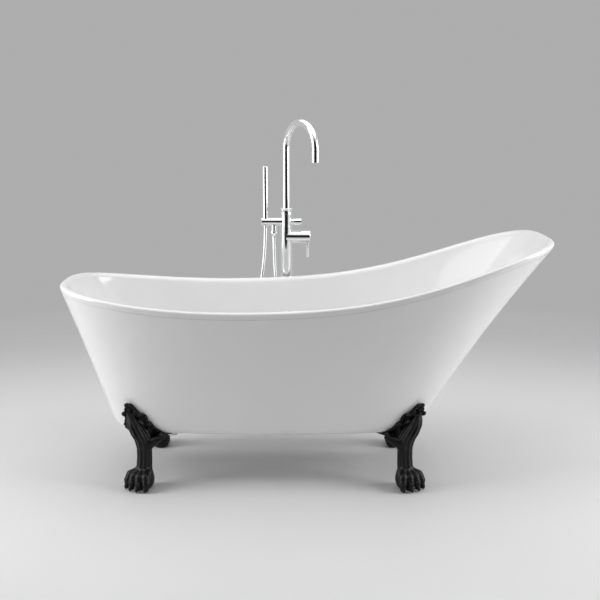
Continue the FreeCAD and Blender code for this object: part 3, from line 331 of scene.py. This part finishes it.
# %% A finish
class Finish:
    """A material with its principled shader; keyword arguments are the shader's constants."""

    def __init__(self, name, **constants):
        self.material = bpy.data.materials.new(name)
        self.material.use_nodes = True
        self.tree = self.material.node_tree
        self.shader = self.tree.nodes["Principled BSDF"]
        for socket, value in constants.items():
            self.shader.inputs[socket.replace("_", " ")].default_value = value
        self.place = self.node("TexCoord", out="Object")

    def node(self, kind, settings={}, sockets={}, out=0):
        """Adds a node: first its settings, then the values or wires of its sockets."""
        made = self.tree.nodes.new("ShaderNode" + kind)
        for name, value in settings.items():
            setattr(made, name, value)
        for key, value in sockets.items():
            if isinstance(value, Wire):
                self.tree.links.new(value.socket, made.inputs[key])
            else:
                made.inputs[key].default_value = value
        return Wire(self, made.outputs[out])

    def math(self, operation, a, b):
        return self.node("Math", {"operation": operation}, {0: a, 1: b})

    def noise(self, scale, detail=3.0, stretch=(1, 1, 1)):
        """Cloudy values from 0 to 1, with features about 1/scale metres across."""
        place = self.node("VectorMath", {"operation": "MULTIPLY"}, {0: self.place, 1: stretch})
        return self.node("TexNoise", {}, {"Vector": place, "Scale": scale, "Detail": detail})

    def between(self, value, low, high):
        """0 below low, 1 above high, smooth between."""
        ranges = {"Value": value, "From Min": low, "From Max": high}
        return self.node("MapRange", {"interpolation_type": "SMOOTHSTEP"}, ranges)

    def mixed(self, share, colour, other):
        """From one colour to the other as share goes from 0 to 1."""
        ends = {0: share, 6: colour if isinstance(colour, Wire) else (*colour, 1),
                7: other if isinstance(other, Wire) else (*other, 1)}
        return self.node("Mix", {"data_type": "RGBA"}, ends, out=2)

    def edges(self):
        """High where the surface is a ridge, low in a groove."""
        return self.node("NewGeometry", out="Pointiness")

    def set(self, colour, roughness, height=None, depth=0.001, alpha=None):
        """Connects what varies: colour, roughness, alpha, and a height that becomes bumps."""
        wires = {"Base Color": colour, "Roughness": roughness, "Alpha": alpha}
        if height is not None:
            bump = {"Height": height, "Distance": depth, "Strength": 1.0}
            wires["Normal"] = self.node("Bump", {}, bump)
        for name, wire in wires.items():
            if wire is not None:
                self.tree.links.new(wire.socket, self.shader.inputs[name])
        return self.material


FINISHES = {}


def store(slot, material):
    """Stores the finish of one stuff, and says how large its network is."""
    FINISHES[slot] = material
    print(slot, "has", len(material.node_tree.nodes), "nodes")


# %% [markdown]
# White acrylic
#
# The two shells are vacuum-formed acrylic: very white, glossy, and never perfectly flat. A faint
# orange peel breaks up its reflections, and a slow cloud changes its white and its gloss by a
# percent or two, which is what tells it from plain white plastic.

# %% Mix the acrylic
def acrylic():
    finish = Finish("gloss_white_acrylic", IOR=1.49, Coat_Weight=0.35, Coat_Roughness=0.03)
    cloud = finish.noise(3.0, 2.0)
    haze = finish.noise(45.0, 4.0)
    peel = finish.noise(140.0, 2.0)
    waves = finish.noise(9.0, 1.0)
    white = finish.mixed(cloud, (0.80, 0.805, 0.805), (0.86, 0.86, 0.855))
    return finish.set(white, 0.07 + haze * 0.07, waves * 3.0 + peel * 0.05, depth=0.0006)


store("acrylic", acrylic())

# %% [markdown]
# Black enamelled iron
#
# The feet are sand castings with a satin black coat. The coat is thin over ridges, where hands and
# cloths polish it lighter; that lighter colour on the ridges is also a painted highlight. It keeps
# the casting's fine grain everywhere.

# %% Mix the enamel
def black_iron():
    finish = Finish("satin_black_iron", IOR=1.5, Specular_IOR_Level=0.22)
    grain = finish.noise(700.0, 3.0)
    pits = finish.noise(160.0, 3.0)
    # painted highlight: ridges get a lighter black, partly real rubbing of the coat and partly the sheen of
    # light on them
    rubbed_and_highlit = finish.between(finish.edges() + pits * 0.03, 0.525, 0.60)
    black = finish.mixed(rubbed_and_highlit, (0.0035, 0.0035, 0.0038), (0.022, 0.021, 0.020))
    return finish.set(black, 0.33 - rubbed_and_highlit * 0.10 + grain * 0.08, grain * 0.4 + pits, depth=0.0004)


store("foot_iron", black_iron())

# %% [markdown]
# Chrome, brass and copper
#
# Chrome plate is a near-perfect mirror. What makes it look real is what spoils it a little: wiping
# leaves faint smears, and drops dry into soft spots. Brass and copper are duller and vary more in
# tint, so one function with other numbers makes all three.

# %% Mix chrome, brass and copper
def metal(name, tint, shade, gloss, dull, streak=(1, 1, 1)):
    """A metal between two tints, with a roughness that wanders between gloss and dull."""
    finish = Finish(name, Metallic=1.0)
    smears = finish.noise(30.0, 4.0, streak)
    specks = finish.between(finish.noise(420.0, 2.0), 0.62, 0.75)
    colour = finish.mixed(smears, shade, tint)
    rough = gloss + (dull - gloss) * smears + specks * (dull - gloss)
    return finish.set(colour, rough, smears + specks * 0.2, depth=0.00008)


def chrome():
    return metal("chrome_plate", (0.90, 0.905, 0.915), (0.84, 0.845, 0.86), 0.025, 0.075, (1, 1, 0.3))


def brass():
    return metal("machined_brass", (0.78, 0.60, 0.30), (0.62, 0.45, 0.22), 0.22, 0.42)


def copper():
    return metal("drawn_copper", (0.82, 0.47, 0.33), (0.58, 0.30, 0.20), 0.25, 0.5, (1, 1, 0.2))


store("chrome", chrome())
store("brass", brass())
store("copper_pipe", copper())

# %% [markdown]
# The hose's metal strip and zinc plate
#
# The strip is chromed like the rest, but grime and shade gather in the grooves between its ribs,
# which the mesh's own ridges tell the shader. Zinc plate shows cloudy crystals instead, a cell
# pattern a few millimetres across.

# %% Mix the strip and the zinc
def hose_metal():
    """Chrome-plated steel strip, darker in the grooves between its ribs: grime and painted shade."""
    finish = Finish("hose_chrome", Metallic=1.0)
    groove_grime_and_shade = finish.between(finish.edges(), 0.40, 0.53)
    smears = finish.noise(60.0, 3.0)
    # painted shade: the grooves darken to grey, partly grime and partly the shade that falls in them
    colour = finish.mixed(groove_grime_and_shade, (0.30, 0.30, 0.31), (0.86, 0.865, 0.875))
    return finish.set(colour, 0.16 + smears * 0.12, smears, depth=0.0001)


def zinc():
    """Zinc-plated steel with its cloudy crystals."""
    finish = Finish("zinc_plate", Metallic=1.0)
    crystals = finish.node("TexVoronoi", {}, {"Vector": finish.place, "Scale": 350.0}, out="Color")
    spangle = finish.node("RGBToBW", {}, {0: crystals})
    colour = finish.mixed(spangle, (0.46, 0.47, 0.49), (0.66, 0.67, 0.69))
    return finish.set(colour, 0.30 + spangle * 0.2, spangle, depth=0.0001)


store("hose_chrome", hose_metal())
store("zinc_steel", zinc())

# %% [markdown]
# Rubber and moulded plastic
#
# These are pads, seals and pipes under the bath and inside the filler. Each still has what its
# real stuff shows: stipple and a grey bloom on rubber, flow marks in moulded plastic.

# %% Mix the rubber and the plastic
def rubber(name, black, grey):
    finish = Finish(name, IOR=1.5)
    stipple = finish.noise(1500.0, 2.0)
    bloom = finish.noise(60.0, 4.0)
    return finish.set(finish.mixed(bloom, black, grey), 0.55 + bloom * 0.25, stipple, depth=0.0002)


def moulded(name, light, dark):
    finish = Finish(name, IOR=1.5)
    flow = finish.noise(18.0, 4.0, (1, 1, 3))
    skin = finish.noise(900.0, 2.0)
    return finish.set(finish.mixed(flow, dark, light), 0.28 + flow * 0.2, skin, depth=0.00012)


store("pad_rubber", rubber("pad_rubber", (0.020, 0.020, 0.020), (0.045, 0.045, 0.045)))
store("seal_rubber", rubber("seal_rubber", (0.045, 0.045, 0.050), (0.085, 0.085, 0.090)))
store("white_pvc", moulded("white_pvc", (0.80, 0.80, 0.77), (0.70, 0.70, 0.67)))
store("sealant", moulded("joint_sealant", (0.55, 0.55, 0.54), (0.47, 0.47, 0.46)))

# %% [markdown]
# Plywood, and the floor's paint
#
# The board under the bath shows its plies at the edge and stretched grain on its faces. The
# floor isn't part of the bath: it is pale and matte, and turns transparent far away, where it
# meets the backdrop.

# %% Mix the plywood and the paint
def plywood():
    finish = Finish("coated_plywood", IOR=1.45)
    grain = finish.noise(14.0, 6.0, (0.6, 9, 3))
    plies = finish.node("TexWave", {"bands_direction": "Z"},
                        {"Vector": finish.place, "Scale": 55.0, "Distortion": 0.4}, out="Fac")
    wood = finish.mixed(grain, (0.36, 0.25, 0.13), (0.62, 0.47, 0.29))
    layered = finish.mixed(plies * 0.5, wood, (0.22, 0.13, 0.06))
    return finish.set(layered, 0.42 + grain * 0.2, grain + plies * 0.4, depth=0.0004)


FLOOR_FADES, FLOOR_GONE = 1.2, 3.4        # metres from the bath's middle


def studio_paint():
    """The floor's paint, which fades into the backdrop where the light of the boxes ends."""
    finish = Finish("pale_floor")
    dust = finish.noise(1.2, 3.0)
    away = finish.node("VectorMath", {"operation": "LENGTH"}, {0: finish.place}, out="Value")
    paint = finish.mixed(dust, (0.66, 0.66, 0.66), (0.70, 0.70, 0.70))
    gone = finish.between(away, FLOOR_FADES, FLOOR_GONE)
    return finish.set(paint, 0.55 + dust * 0.1, alpha=1 - gone)


store("plywood", plywood())
floor.data.materials.append(studio_paint())

# %% [markdown]
# Give each incoming piece its finish
#
# The record already says which stuff each piece is made of, so one loop is enough.

# %% Dress the incoming pieces
def dress(obj, slot):
    """Replaces whatever material the piece came with by the slot's finish."""
    obj.data.materials.clear()
    obj.data.materials.append(FINISHES[slot])


for entry in frame["record"]["subparts"]:
    dress(frame["nodes"][entry["node"]], entry["material_slot"])
dress(hose, "hose_chrome")

# %% [markdown]
# Sculpting a cast foot
#
# A claw foot has no edges to extrude: toes, leg and leaf flow into each other. It is easiest to
# describe as a field, a number at every point of space that is negative inside the iron. Simple
# bodies give simple fields. The foot's own frame has u across it, r outwards over the toes, and z
# up; here lengths are millimetres.

# %% A block of clay
class Clay:
    """A block of space round one foot, on a fine grid, and the bodies pressed into it."""

    def __init__(self, low, high, step):
        self.low, self.step = np.array(low, np.float32), step
        self.axes = [np.arange(a, b, step, dtype=np.float32) for a, b in zip(low, high)]
        self.u, self.r, self.z = np.meshgrid(*self.axes, indexing="ij", sparse=True)

    def gaps(self, centre):
        """How far every grid point is from a centre, along u, r and z."""
        return [axis - c for axis, c in zip((self.u, self.r, self.z), centre)]

    def blob(self, centre, radii):
        """An ellipsoid."""
        parts = [gap / radius for gap, radius in zip(self.gaps(centre), radii)]
        reach = np.sqrt(parts[0] ** 2 + parts[1] ** 2 + parts[2] ** 2)
        return (reach - 1) * min(radii)

    def limb(self, start, end, start_radius, end_radius):
        """A tapered rod with round ends."""
        start, along = np.array(start, float), np.array(end, float) - np.array(start, float)
        gaps = self.gaps(start)
        share = sum(g * a for g, a in zip(gaps, along)) / float(along @ along)
        share = np.clip(share, 0, 1)
        away = np.sqrt(sum((g - share * a) ** 2 for g, a in zip(gaps, along)))
        return away - (start_radius + (end_radius - start_radius) * share)

    def path(self, points, radii):
        """Limbs end to end."""
        whole = None
        for a, b, ra, rb in zip(points, points[1:], radii, radii[1:]):
            piece = self.limb(a, b, ra, rb)
            whole = piece if whole is None else np.minimum(whole, piece)
        return whole


# %% [markdown]
# The smaller of two fields is both bodies together. A soft minimum melts them into each other, as
# clay does, and the same sum turned inside out cuts one body by another.

# %% Join two bodies
def melted(a, b, softness):
    """Both bodies, with a fillet of about that softness between them."""
    share = np.clip(0.5 + 0.5 * (b - a) / softness, 0, 1)
    return b + (a - b) * share - softness * share * (1 - share)


def kept(a, b, softness):
    """Only what is in both bodies, with a rounded edge."""
    return -melted(-a, -b, softness)


# %% [markdown]
# From the field to a mesh, every small cell that the surface passes through gets one point, at the
# mean of the places where the surface crosses its edges.

# %% Find the mesh's points
def crossings(field, axis):
    """Which grid edges along an axis the surface crosses, and how far along each."""
    start, end = np.delete(field, -1, axis), np.delete(field, 0, axis)
    crossed = (start < 0) != (end < 0)
    return crossed, np.where(crossed, start / np.where(crossed, start - end, 1), 0), start < 0


def cell_points(edges, cells):
    """For each cell, the mean place of its crossed edges, and how many there are."""
    total, count = np.zeros((*cells, 3), np.float32), np.zeros(cells, np.float32)
    for axis, (crossed, share, _) in enumerate(edges):
        first, second = [k for k in range(3) if k != axis]
        for shift_first, shift_second in ((0, 0), (0, 1), (1, 0), (1, 1)):
            window = [slice(None)] * 3
            window[first] = slice(shift_first, shift_first + cells[first])
            window[second] = slice(shift_second, shift_second + cells[second])
            here = crossed[tuple(window)]
            count += here
            total[..., axis] += np.where(here, share[tuple(window)], 0)
            total[..., first] += np.where(here, shift_first, 0)
            total[..., second] += np.where(here, shift_second, 0)
    return total / np.maximum(count, 1)[..., None], count


# %% [markdown]
# Each crossed edge then joins the points of the four cells round it with a face. Which end of the
# edge is inside the iron decides which way the face looks. A ball tests the whole method.

# %% Join the points with faces
def faces_across(edge, axis, number, cells):
    """One face for each crossed edge along an axis, turned to look out of the iron."""
    crossed, _, starts_inside = edge
    first, second = (axis + 1) % 3, (axis + 2) % 3
    places = np.argwhere(crossed)
    places = places[(places[:, first] > 0) & (places[:, second] > 0)
                    & (places[:, first] < cells[first]) & (places[:, second] < cells[second])]
    corners = []
    for back_first, back_second in ((1, 1), (0, 1), (0, 0), (1, 0)):
        cell = places.copy()
        cell[:, first] -= back_first
        cell[:, second] -= back_second
        corners.append(number[tuple(cell.T)])
    quads = np.stack(corners, axis=1)
    outwards = starts_inside[tuple(places.T)]
    return np.where(outwards[:, None], quads, quads[:, ::-1])


def skinned(clay, field):
    """Points and faces of the surface where the field is zero, in the clay's frame."""
    cells = tuple(n - 1 for n in field.shape)
    edges = [crossings(field, axis) for axis in range(3)]
    mean, count = cell_points(edges, cells)
    used = count > 0
    number = np.full(cells, -1)
    number[used] = np.arange(used.sum())
    points = (np.argwhere(used) + mean[used]) * clay.step + clay.low
    return points, np.concatenate([faces_across(edges[k], k, number, cells) for k in range(3)])


BALL_RADIUS = 10
test_clay = Clay((-12, -12, -12), (13, 13, 13), 1.0)
points, faces = skinned(test_clay, test_clay.blob((0, 0, 0), [BALL_RADIUS] * 3))
print("a ball of radius", BALL_RADIUS, "comes out as %.2f" % np.linalg.norm(points, axis=1).mean())

# %% [markdown]
# The paw has four toes. Each runs from the instep over a knuckle and down to the floor, where it
# narrows to a claw. The toes touch but stay apart as bodies, so a crease is left between them.

# %% Model the paw
TOES = [(-38, 45, 14.0), (-13, 55, 12.6), (13, 55, 12.6), (38, 45, 14.0)]    # u, r and thickness
KNUCKLE_HEIGHT, KNUCKLE_SWELL = 50, 1.5
CREASE_HEIGHT, CREASE_HALF, CREASE_RADIUS = 36, 9, 2.2
CLAW_RADII = [7.5, 6.0, 4.0]
BALL, HEEL = ((0, 12, 30), (37, 36, 38)), ((0, -4, 34), (27, 25, 40))        # centre and radii
TOE_CREASE, CLAW_CREASE, INSTEP = 1.6, 1.5, 3.5                              # how softly they meet


def toe(clay, u, r, thick):
    spine = [(u * 0.42, r * 0.25, 60), (u * 0.82, r * 0.80, 51), (u, r, 32), (u * 1.03, r + 2, 12)]
    top = clay.path(spine, [thick, thick + 1.5, thick, thick * 0.66])
    knuckle = clay.blob((u * 0.88, r * 0.88, KNUCKLE_HEIGHT), (thick * 0.80, thick * 0.80, thick * 0.72))
    ends = [(u * 0.95 + side * CREASE_HALF, r + 9, CREASE_HEIGHT) for side in (-1, 1)]
    crease = clay.limb(*ends, CREASE_RADIUS, CREASE_RADIUS)
    claw = clay.path([(u * 1.02, r + 5, 20), (u * 1.06, r + 10, 12), (u * 1.07, r + 10, 6)], CLAW_RADII)
    body = kept(melted(top, knuckle - KNUCKLE_SWELL, 4), -crease, 3)
    return melted(body, claw, CLAW_CREASE)


def paw(clay):
    core = melted(clay.blob(*BALL), clay.blob(*HEEL), 12)
    toes = [toe(clay, *sizes) for sizes in TOES]
    side_by_side = toes[0]
    for body in toes[1:]:
        side_by_side = melted(side_by_side, body, TOE_CREASE)
    return melted(core, side_by_side, INSTEP)


print("paw:", len(TOES), "toes")

# %% [markdown]
# The leg is a fluted post: its section is a soft rectangle that narrows to a waist and widens
# towards the bath, and shallow flutes run up its front and sides. The ridges between the flutes
# are what the light catches in a black foot. Its upper part leans along with the leaf's keel.

# %% Model the leg
KEEL_HEIGHTS = [150, 172, 192, 215, 240, 265, 300]
KEEL_MIDDLE = [0, -2, -9, -21, -32, -39, -45]
LEG_HEIGHTS = [20, 75, 108, 138, 163, 190, 222, 262]
LEG_CENTRE = [8, 3, 0, 0, 3, 10, 16, 20]            # how far forward its middle stands
LEG_DEPTH = [24, 23.5, 22, 22, 24, 27, 24, 12]      # half, along r
LEG_WIDTH = [25, 25.5, 24, 24.5, 27.5, 31, 27, 12]  # half, along u
LEG_SQUARENESS, LEG_RADIUS = 2.5, 23                # 2 would be an ellipse
LEG_MIDDLE, LEG_HALF = 145, 118                     # the length that is cut out of the post
FLUTES, FLUTE_HEIGHT = 9, 2.6
FLUTES_START, FLUTES_END = (62, 87), (250, 210)     # where they fade in and out
SPINE_HEIGHT, SPINE_TURN = 2.2, 0.16                # the ridge down the front, and half its angle


def keel_middle(heights):
    """Where the leaf's keel stands, across the foot."""
    return np.interp(heights, KEEL_HEIGHTS, KEEL_MIDDLE).astype(np.float32)


def fading_in(values, start, end):
    """0 at the start, 1 from the end on."""
    return np.clip((values - start) / (end - start), 0, 1)


def leg(clay):
    heights = clay.z
    centre, depth, width = (np.interp(heights, LEG_HEIGHTS, sizes).astype(np.float32)
                            for sizes in (LEG_CENTRE, LEG_DEPTH, LEG_WIDTH))
    across, out = (clay.u - keel_middle(heights)) / width, (clay.r - centre) / depth
    reach = (np.abs(across) ** LEG_SQUARENESS + np.abs(out) ** LEG_SQUARENESS) ** (1 / LEG_SQUARENESS)
    turn = np.arctan2(across, out)
    flutes = FLUTE_HEIGHT * (np.abs(np.cos(turn * FLUTES / 2)) ** 0.7 - 0.6)
    spine = SPINE_HEIGHT * np.exp(-(turn / SPINE_TURN) ** 2)
    strength = fading_in(heights, *FLUTES_START) * fading_in(heights, *FLUTES_END)
    field = (reach - 1) * LEG_RADIUS - strength * (flutes + spine)
    return kept(field, np.abs(heights - LEG_MIDDLE) - LEG_HALF, 10)


print("leg: from", LEG_MIDDLE - LEG_HALF, "to", LEG_MIDDLE + LEG_HALF, "mm, with", FLUTES, "flutes round it")

# %% [markdown]
# Above the leg an acanthus leaf spreads over the bath's flank. It is drawn as it would be on
# paper, flat, by its outline, its ribs and the tips that roll up into balls. Its keel leans with
# the flare of the bath.

# %% Draw the leaf
LEAF_OUTLINE = [(26, 140), (34, 158), (50, 174), (60, 187), (50, 200), (34, 210), (29, 221), (21, 230),
                (13, 234), (14, 245), (9, 256), (-2, 262), (-14, 260), (-20, 272), (-28, 284), (-38, 294),
                (-50, 294), (-58, 284), (-60, 270), (-68, 263), (-75, 254), (-74, 242), (-72, 234),
                (-80, 222), (-84, 206), (-80, 188), (-70, 172), (-50, 156), (-28, 140)]
LEAF_RIBS = [
    [(6, 168), (-16, 205), (-35, 250), (-44, 292)],
    [(8, 172), (2, 205), (-8, 235), (-1, 257)],
    [(12, 168), (14, 190), (18, 210), (22, 224)],
    [(-10, 172), (-32, 205), (-54, 232), (-70, 254)],
    [(-16, 168), (-42, 188), (-62, 200), (-78, 212)],
    [(16, 162), (34, 178), (50, 190), (56, 190)],
    [(-2, 176), (-10, 206), (-24, 242), (-23, 268)],
    [(-14, 176), (-30, 210), (-49, 246), (-55, 274)],
]
LEAF_TIPS = [(-43, 290, 9.5), (0, 258, 7.5), (23, 224, 6.5), (-63, 255, 9.0)]    # u, z and radius
print("leaf:", len(LEAF_OUTLINE), "outline points,", len(LEAF_RIBS), "ribs")

# %% [markdown]
# Two measures are taken on that drawing: how far a place is from a line, and how far it is inside
# the outline, which counts how often a level line from it crosses the outline.

# %% Measure on the drawing
def distance_to_line(u, z, line):
    """Flat distance from every (u, z) to a line of points."""
    nearest = np.full(np.broadcast(u, z).shape, 1e3, np.float32)
    for (ua, za), (ub, zb) in zip(line, line[1:]):
        du, dz = ub - ua, zb - za
        share = np.clip(((u - ua) * du + (z - za) * dz) / (du * du + dz * dz), 0, 1)
        nearest = np.minimum(nearest, np.hypot(u - ua - share * du, z - za - share * dz))
    return nearest


def inside_outline(u, z, line):
    """Flat distance to a closed outline, negative inside it."""
    closed = line + line[:1]
    crossed = np.zeros(np.broadcast(u, z).shape, bool)
    for (ua, za), (ub, zb) in zip(closed, closed[1:]):
        if za != zb:
            between = (za > z) != (zb > z)
            crossed ^= between & (u < ua + (z - za) * (ub - ua) / (zb - za))
    return np.where(crossed, -1, 1) * distance_to_line(u, z, closed)


# %% [markdown]
# The drawn leaf then stands off the flank by a thickness: deep along its keel, thin at its rim,
# raised along each rib with a groove on either side, and rolled outwards along its free edge.

# %% Give the leaf its thickness
KEEL_STANDOFF = [62, 60, 50, 36, 27, 23, 22]
RIM_STANDOFF, HALF_LEAF = 9.0, 46.0
RIB_HEIGHT, RIB_WIDTH = 5.6, 3.3
GROOVE_DEPTH, GROOVE_WIDTH, GROOVE_BESIDE = 3.6, 3.2, 7.5
ROLLED_HEIGHT, ROLLED_WIDTH, ROLLED_ABOVE = 3.5, 6.0, 195


def leaf_thickness(clay, edge):
    """How far the leaf's face stands off the bath, over the flat of the drawing."""
    u, z = clay.u[:, 0, :], clay.z[:, 0, :]
    keel = np.interp(z, KEEL_HEIGHTS, KEEL_STANDOFF)
    side = np.clip(np.abs(u - keel_middle(z)) / HALF_LEAF, 0, 1)
    thickness = RIM_STANDOFF + (keel - RIM_STANDOFF) * (1 - side) ** 1.7
    for line in LEAF_RIBS:
        away = distance_to_line(u, z, line)
        thickness = thickness + RIB_HEIGHT * np.exp(-(away / RIB_WIDTH) ** 2)
        thickness = thickness - GROOVE_DEPTH * np.exp(-((away - GROOVE_BESIDE) / GROOVE_WIDTH) ** 2)
    rolled = np.clip(1 + edge / ROLLED_WIDTH, 0, 1) * (z > ROLLED_ABOVE)
    return (thickness + ROLLED_HEIGHT * rolled).astype(np.float32)


print("leaf:", KEEL_STANDOFF[0], "mm thick at its root,", RIM_STANDOFF, "mm at its rim")

# %% [markdown]
# The leaf has to hug the bath, so the foot needs to know how far every point is from the skirt.
# The nearest point of the skirt's outside is found on a coarse grid, and the distances between are
# filled in, because the skirt is smooth.

# %% Measure the distance to the skirt
def skirt_surface():
    """A search tree of the skirt's outer faces only."""
    mesh = frame["nodes"]["outer_skirt"].data
    middle = Vector((0, BATH_Y, 0.45))
    faces = [tuple(p.vertices) for p in mesh.polygons if p.normal.dot(p.center - middle) > 0]
    print("skirt: %d of its %d faces look outwards" % (len(faces), len(mesh.polygons)))
    return BVHTree.FromPolygons([v.co for v in mesh.vertices], faces)


def spread(values, coarse, fine, axis):
    """Fills in values along one axis from a coarse spacing to a fine one."""
    place = (fine - coarse[0]) / (coarse[1] - coarse[0])
    low = np.clip(place.astype(int), 0, len(coarse) - 2)
    shape = [1] * 3
    shape[axis] = -1
    share = (place - low).reshape(shape)
    return np.take(values, low, axis) * (1 - share) + np.take(values, low + 1, axis) * share


SEARCH_STEP = 7.0


def skirt_distance(clay, tree, to_world):
    """Distance from the skirt's outside at every grid point, negative within the bath."""
    coarse = [np.arange(a[0], a[-1] + SEARCH_STEP, SEARCH_STEP) for a in clay.axes]
    values = np.zeros([len(a) for a in coarse], np.float32)
    for place in np.ndindex(values.shape):
        point = to_world @ Vector([coarse[k][place[k]] * MM for k in range(3)])
        nearest, normal, _, gap = tree.find_nearest(point)
        values[place] = math.copysign(gap, (point - nearest).dot(normal)) / MM
    for axis in range(3):
        values = spread(values, coarse[axis], clay.axes[axis], axis)
    return values.astype(np.float32)


tree = skirt_surface()

# %% [markdown]
# Each foot is sculpted where it stands, because its leaf follows the skirt there. Its own frame is
# turned, so that the toes point out over the corner of the bath.

# %% Place a foot's frame
TOE_TURN = math.radians(30)                 # from straight out, towards the foot's end of the bath
LEG_X = {-1: -0.540, 1: 0.345}              # -1 is the low end, 1 the raised end
LEG_REACH = 0.213                           # the leg's middle, out from the bath's centreline


def foot_frame(end):
    """Takes the foot's u, r, z to the place of a front foot at one end."""
    out = Vector((end * math.sin(TOE_TURN), -math.cos(TOE_TURN), 0))
    across = Vector((-end * math.cos(TOE_TURN), -math.sin(TOE_TURN), 0))
    matrix = Matrix((across, out, Vector((0, 0, 1)))).transposed().to_4x4()
    matrix.translation = (LEG_X[end], BATH_Y - LEG_REACH, 0)
    return matrix


print("legs stand %.3f m apart" % (LEG_X[1] - LEG_X[-1]))

# %% [markdown]
# Now the whole foot: paw, leg and leaf melt together, the paint gap to the skirt is cut away, and
# so is the seat of the rubber pad under the paw.

# %% Melt the foot together
SHOULDER_LINE = ((14, 2, 150), (38, -8, 168), (66, -20, 181))    # a web along the bath's bottom edge
SHOULDER_RADII = (18, 15, 6)
LEAF_BACK = 62                              # how far behind the leg's middle the leaf reaches
PAD_PLACE = {-1: -0.556, 1: 0.361}
PAD_REACH = 0.236
PAD_HOLE_RADIUS, PAD_HOLE_TOP, SOLE = 18.4, 3.2, 1.0
PAINT_GAP = 0.4


def leaf(clay, skirt):
    """The leaf, as far from the skirt as it is thick, with a ball rolled at each tip."""
    edge = inside_outline(clay.u[:, 0, :], clay.z[:, 0, :], LEAF_OUTLINE)
    thickness = leaf_thickness(clay, edge)
    body = kept(skirt - thickness[:, None, :], edge[:, None, :].astype(np.float32), 5)
    body = kept(body, -clay.r - LEAF_BACK, 6)
    for u, z, radius in LEAF_TIPS:
        off = np.hypot(clay.u - u, clay.z - z)
        roll = np.hypot(off, skirt - (RIM_STANDOFF + radius * 0.9)) - radius
        body = melted(body, roll, 3)
    return body


def foot_field(clay, end, tree):
    to_world = foot_frame(end)
    skirt = skirt_distance(clay, tree, to_world)
    post = melted(leg(clay), clay.path(SHOULDER_LINE, SHOULDER_RADII), 10)
    iron = melted(melted(paw(clay), post, 9), leaf(clay, skirt), 5)
    iron = kept(iron, PAINT_GAP - skirt, 0.8)
    pad = to_world.inverted() @ Vector((PAD_PLACE[end], BATH_Y - PAD_REACH, 0)) / MM
    seat = np.maximum(np.hypot(clay.u - pad.x, clay.r - pad.y) - PAD_HOLE_RADIUS, clay.z - PAD_HOLE_TOP)
    return np.maximum(np.maximum(iron, -seat), SOLE - clay.z)


# %% [markdown]
# Feet at one end mirror each other, so each end is sculpted once.

# %% Sculpt both ends
CLAY_LOW, CLAY_HIGH = (-104, -84, -4), (76, 82, 322)
CLAY_STEP = 1.6
sculpts = {}
for end in (-1, 1):
    clay = Clay(CLAY_LOW, CLAY_HIGH, CLAY_STEP)
    points, faces = skinned(clay, foot_field(clay, end, tree))
    matrix = foot_frame(end)
    sculpts[end] = [matrix @ Vector(p * MM) for p in points], faces
    print("foot at end", end, "has", len(points), "points")

# %% [markdown]
# Each casting also has a flat arm under the bath with two bolt holes. A flat curve makes it in one
# go: a closed line within another is a hole, and the curve's bevel eases all the edges.

# %% Cut the bolted arm
ARM_START, ARM_END, ARM_HALF_WIDTH = -0.060, -0.238, 0.030
ARM_THICKNESS, EASED = 0.014, 0.0016
BOLT_PLACES, BOLT_HOLE = (-0.190, -0.222), 0.0045
TIP_POINTS, HOLE_POINTS = 25, 32


def closed_line(curve, points):
    """Adds a closed outline to a flat curve."""
    spline = curve.splines.new("POLY")
    spline.points.add(len(points) - 1)
    for point, (x, y) in zip(spline.points, points):
        point.co = (x, y, 0, 1)
    spline.use_cyclic_u = True


def foot_arm():
    """The arm in its own frame, from ARM_START to its round tip at ARM_END on the X axis."""
    curve = bpy.data.curves.new("arm", "CURVE")
    curve.dimensions, curve.fill_mode = "2D", "BOTH"
    curve.extrude, curve.bevel_depth, curve.bevel_resolution = ARM_THICKNESS / 2 - EASED, EASED, 2
    inner, hole = ARM_HALF_WIDTH - EASED, BOLT_HOLE + EASED
    tip = [(ARM_END + ARM_HALF_WIDTH - inner * math.sin(a), inner * math.cos(a))
           for a in np.linspace(0, math.pi, TIP_POINTS)]
    closed_line(curve, [(ARM_START, inner)] + tip + [(ARM_START, -inner)])
    for place in BOLT_PLACES:
        closed_line(curve, [(place + hole * math.cos(a), hole * math.sin(a))
                            for a in np.linspace(0, 2 * math.pi, HOLE_POINTS + 1)[:-1]])
    holder = bpy.data.objects.new("arm", curve)
    bpy.context.scene.collection.objects.link(holder)
    mesh = bpy.data.meshes.new_from_object(holder)
    points = [v.co.copy() for v in mesh.vertices]
    faces = [tuple(p.vertices) for p in mesh.polygons]
    bpy.data.objects.remove(holder)
    return points, faces


arm_points, arm_faces = foot_arm()
print("arm:", len(arm_points), "points and", len(BOLT_PLACES), "bolt holes")

# %% [markdown]
# Sculpt and arm make one casting. A back foot is the mirror image of the front one, and its faces
# are turned round too, so that they still look outwards.

# %% Assemble the four feet
ARM_TURN, ARM_TOP = math.radians(40), 0.186
for end, end_name in ((-1, "left"), (1, "right")):
    place = Matrix.Translation((PAD_PLACE[end], BATH_Y - PAD_REACH, ARM_TOP - ARM_THICKNESS / 2))
    turn = Matrix.Rotation(math.radians(-90) + end * ARM_TURN, 4, "Z")
    arm = [place @ turn @ p for p in arm_points]
    body, faces = sculpts[end]
    shift = len(body)
    all_faces = [tuple(f) for f in faces] + [tuple(i + shift for i in f) for f in arm_faces]
    for side_name, mirror in (("front", 1), ("back", -1)):
        points = [Vector((p.x, BATH_Y + mirror * (p.y - BATH_Y), p.z)) for p in body + arm]
        turned = all_faces if mirror > 0 else [f[::-1] for f in all_faces]
        foot = piece_from("claw_foot_%s_%s" % (side_name, end_name), points, turned)
        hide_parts("foot_%s_%s" % (side_name, end_name))
        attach(foot, "root")
        dress(foot, "foot_iron")

# %% [markdown]
# The visible size
#
# The visual model has to stay as large as the construction says.

# %% Bring in the json module
import json
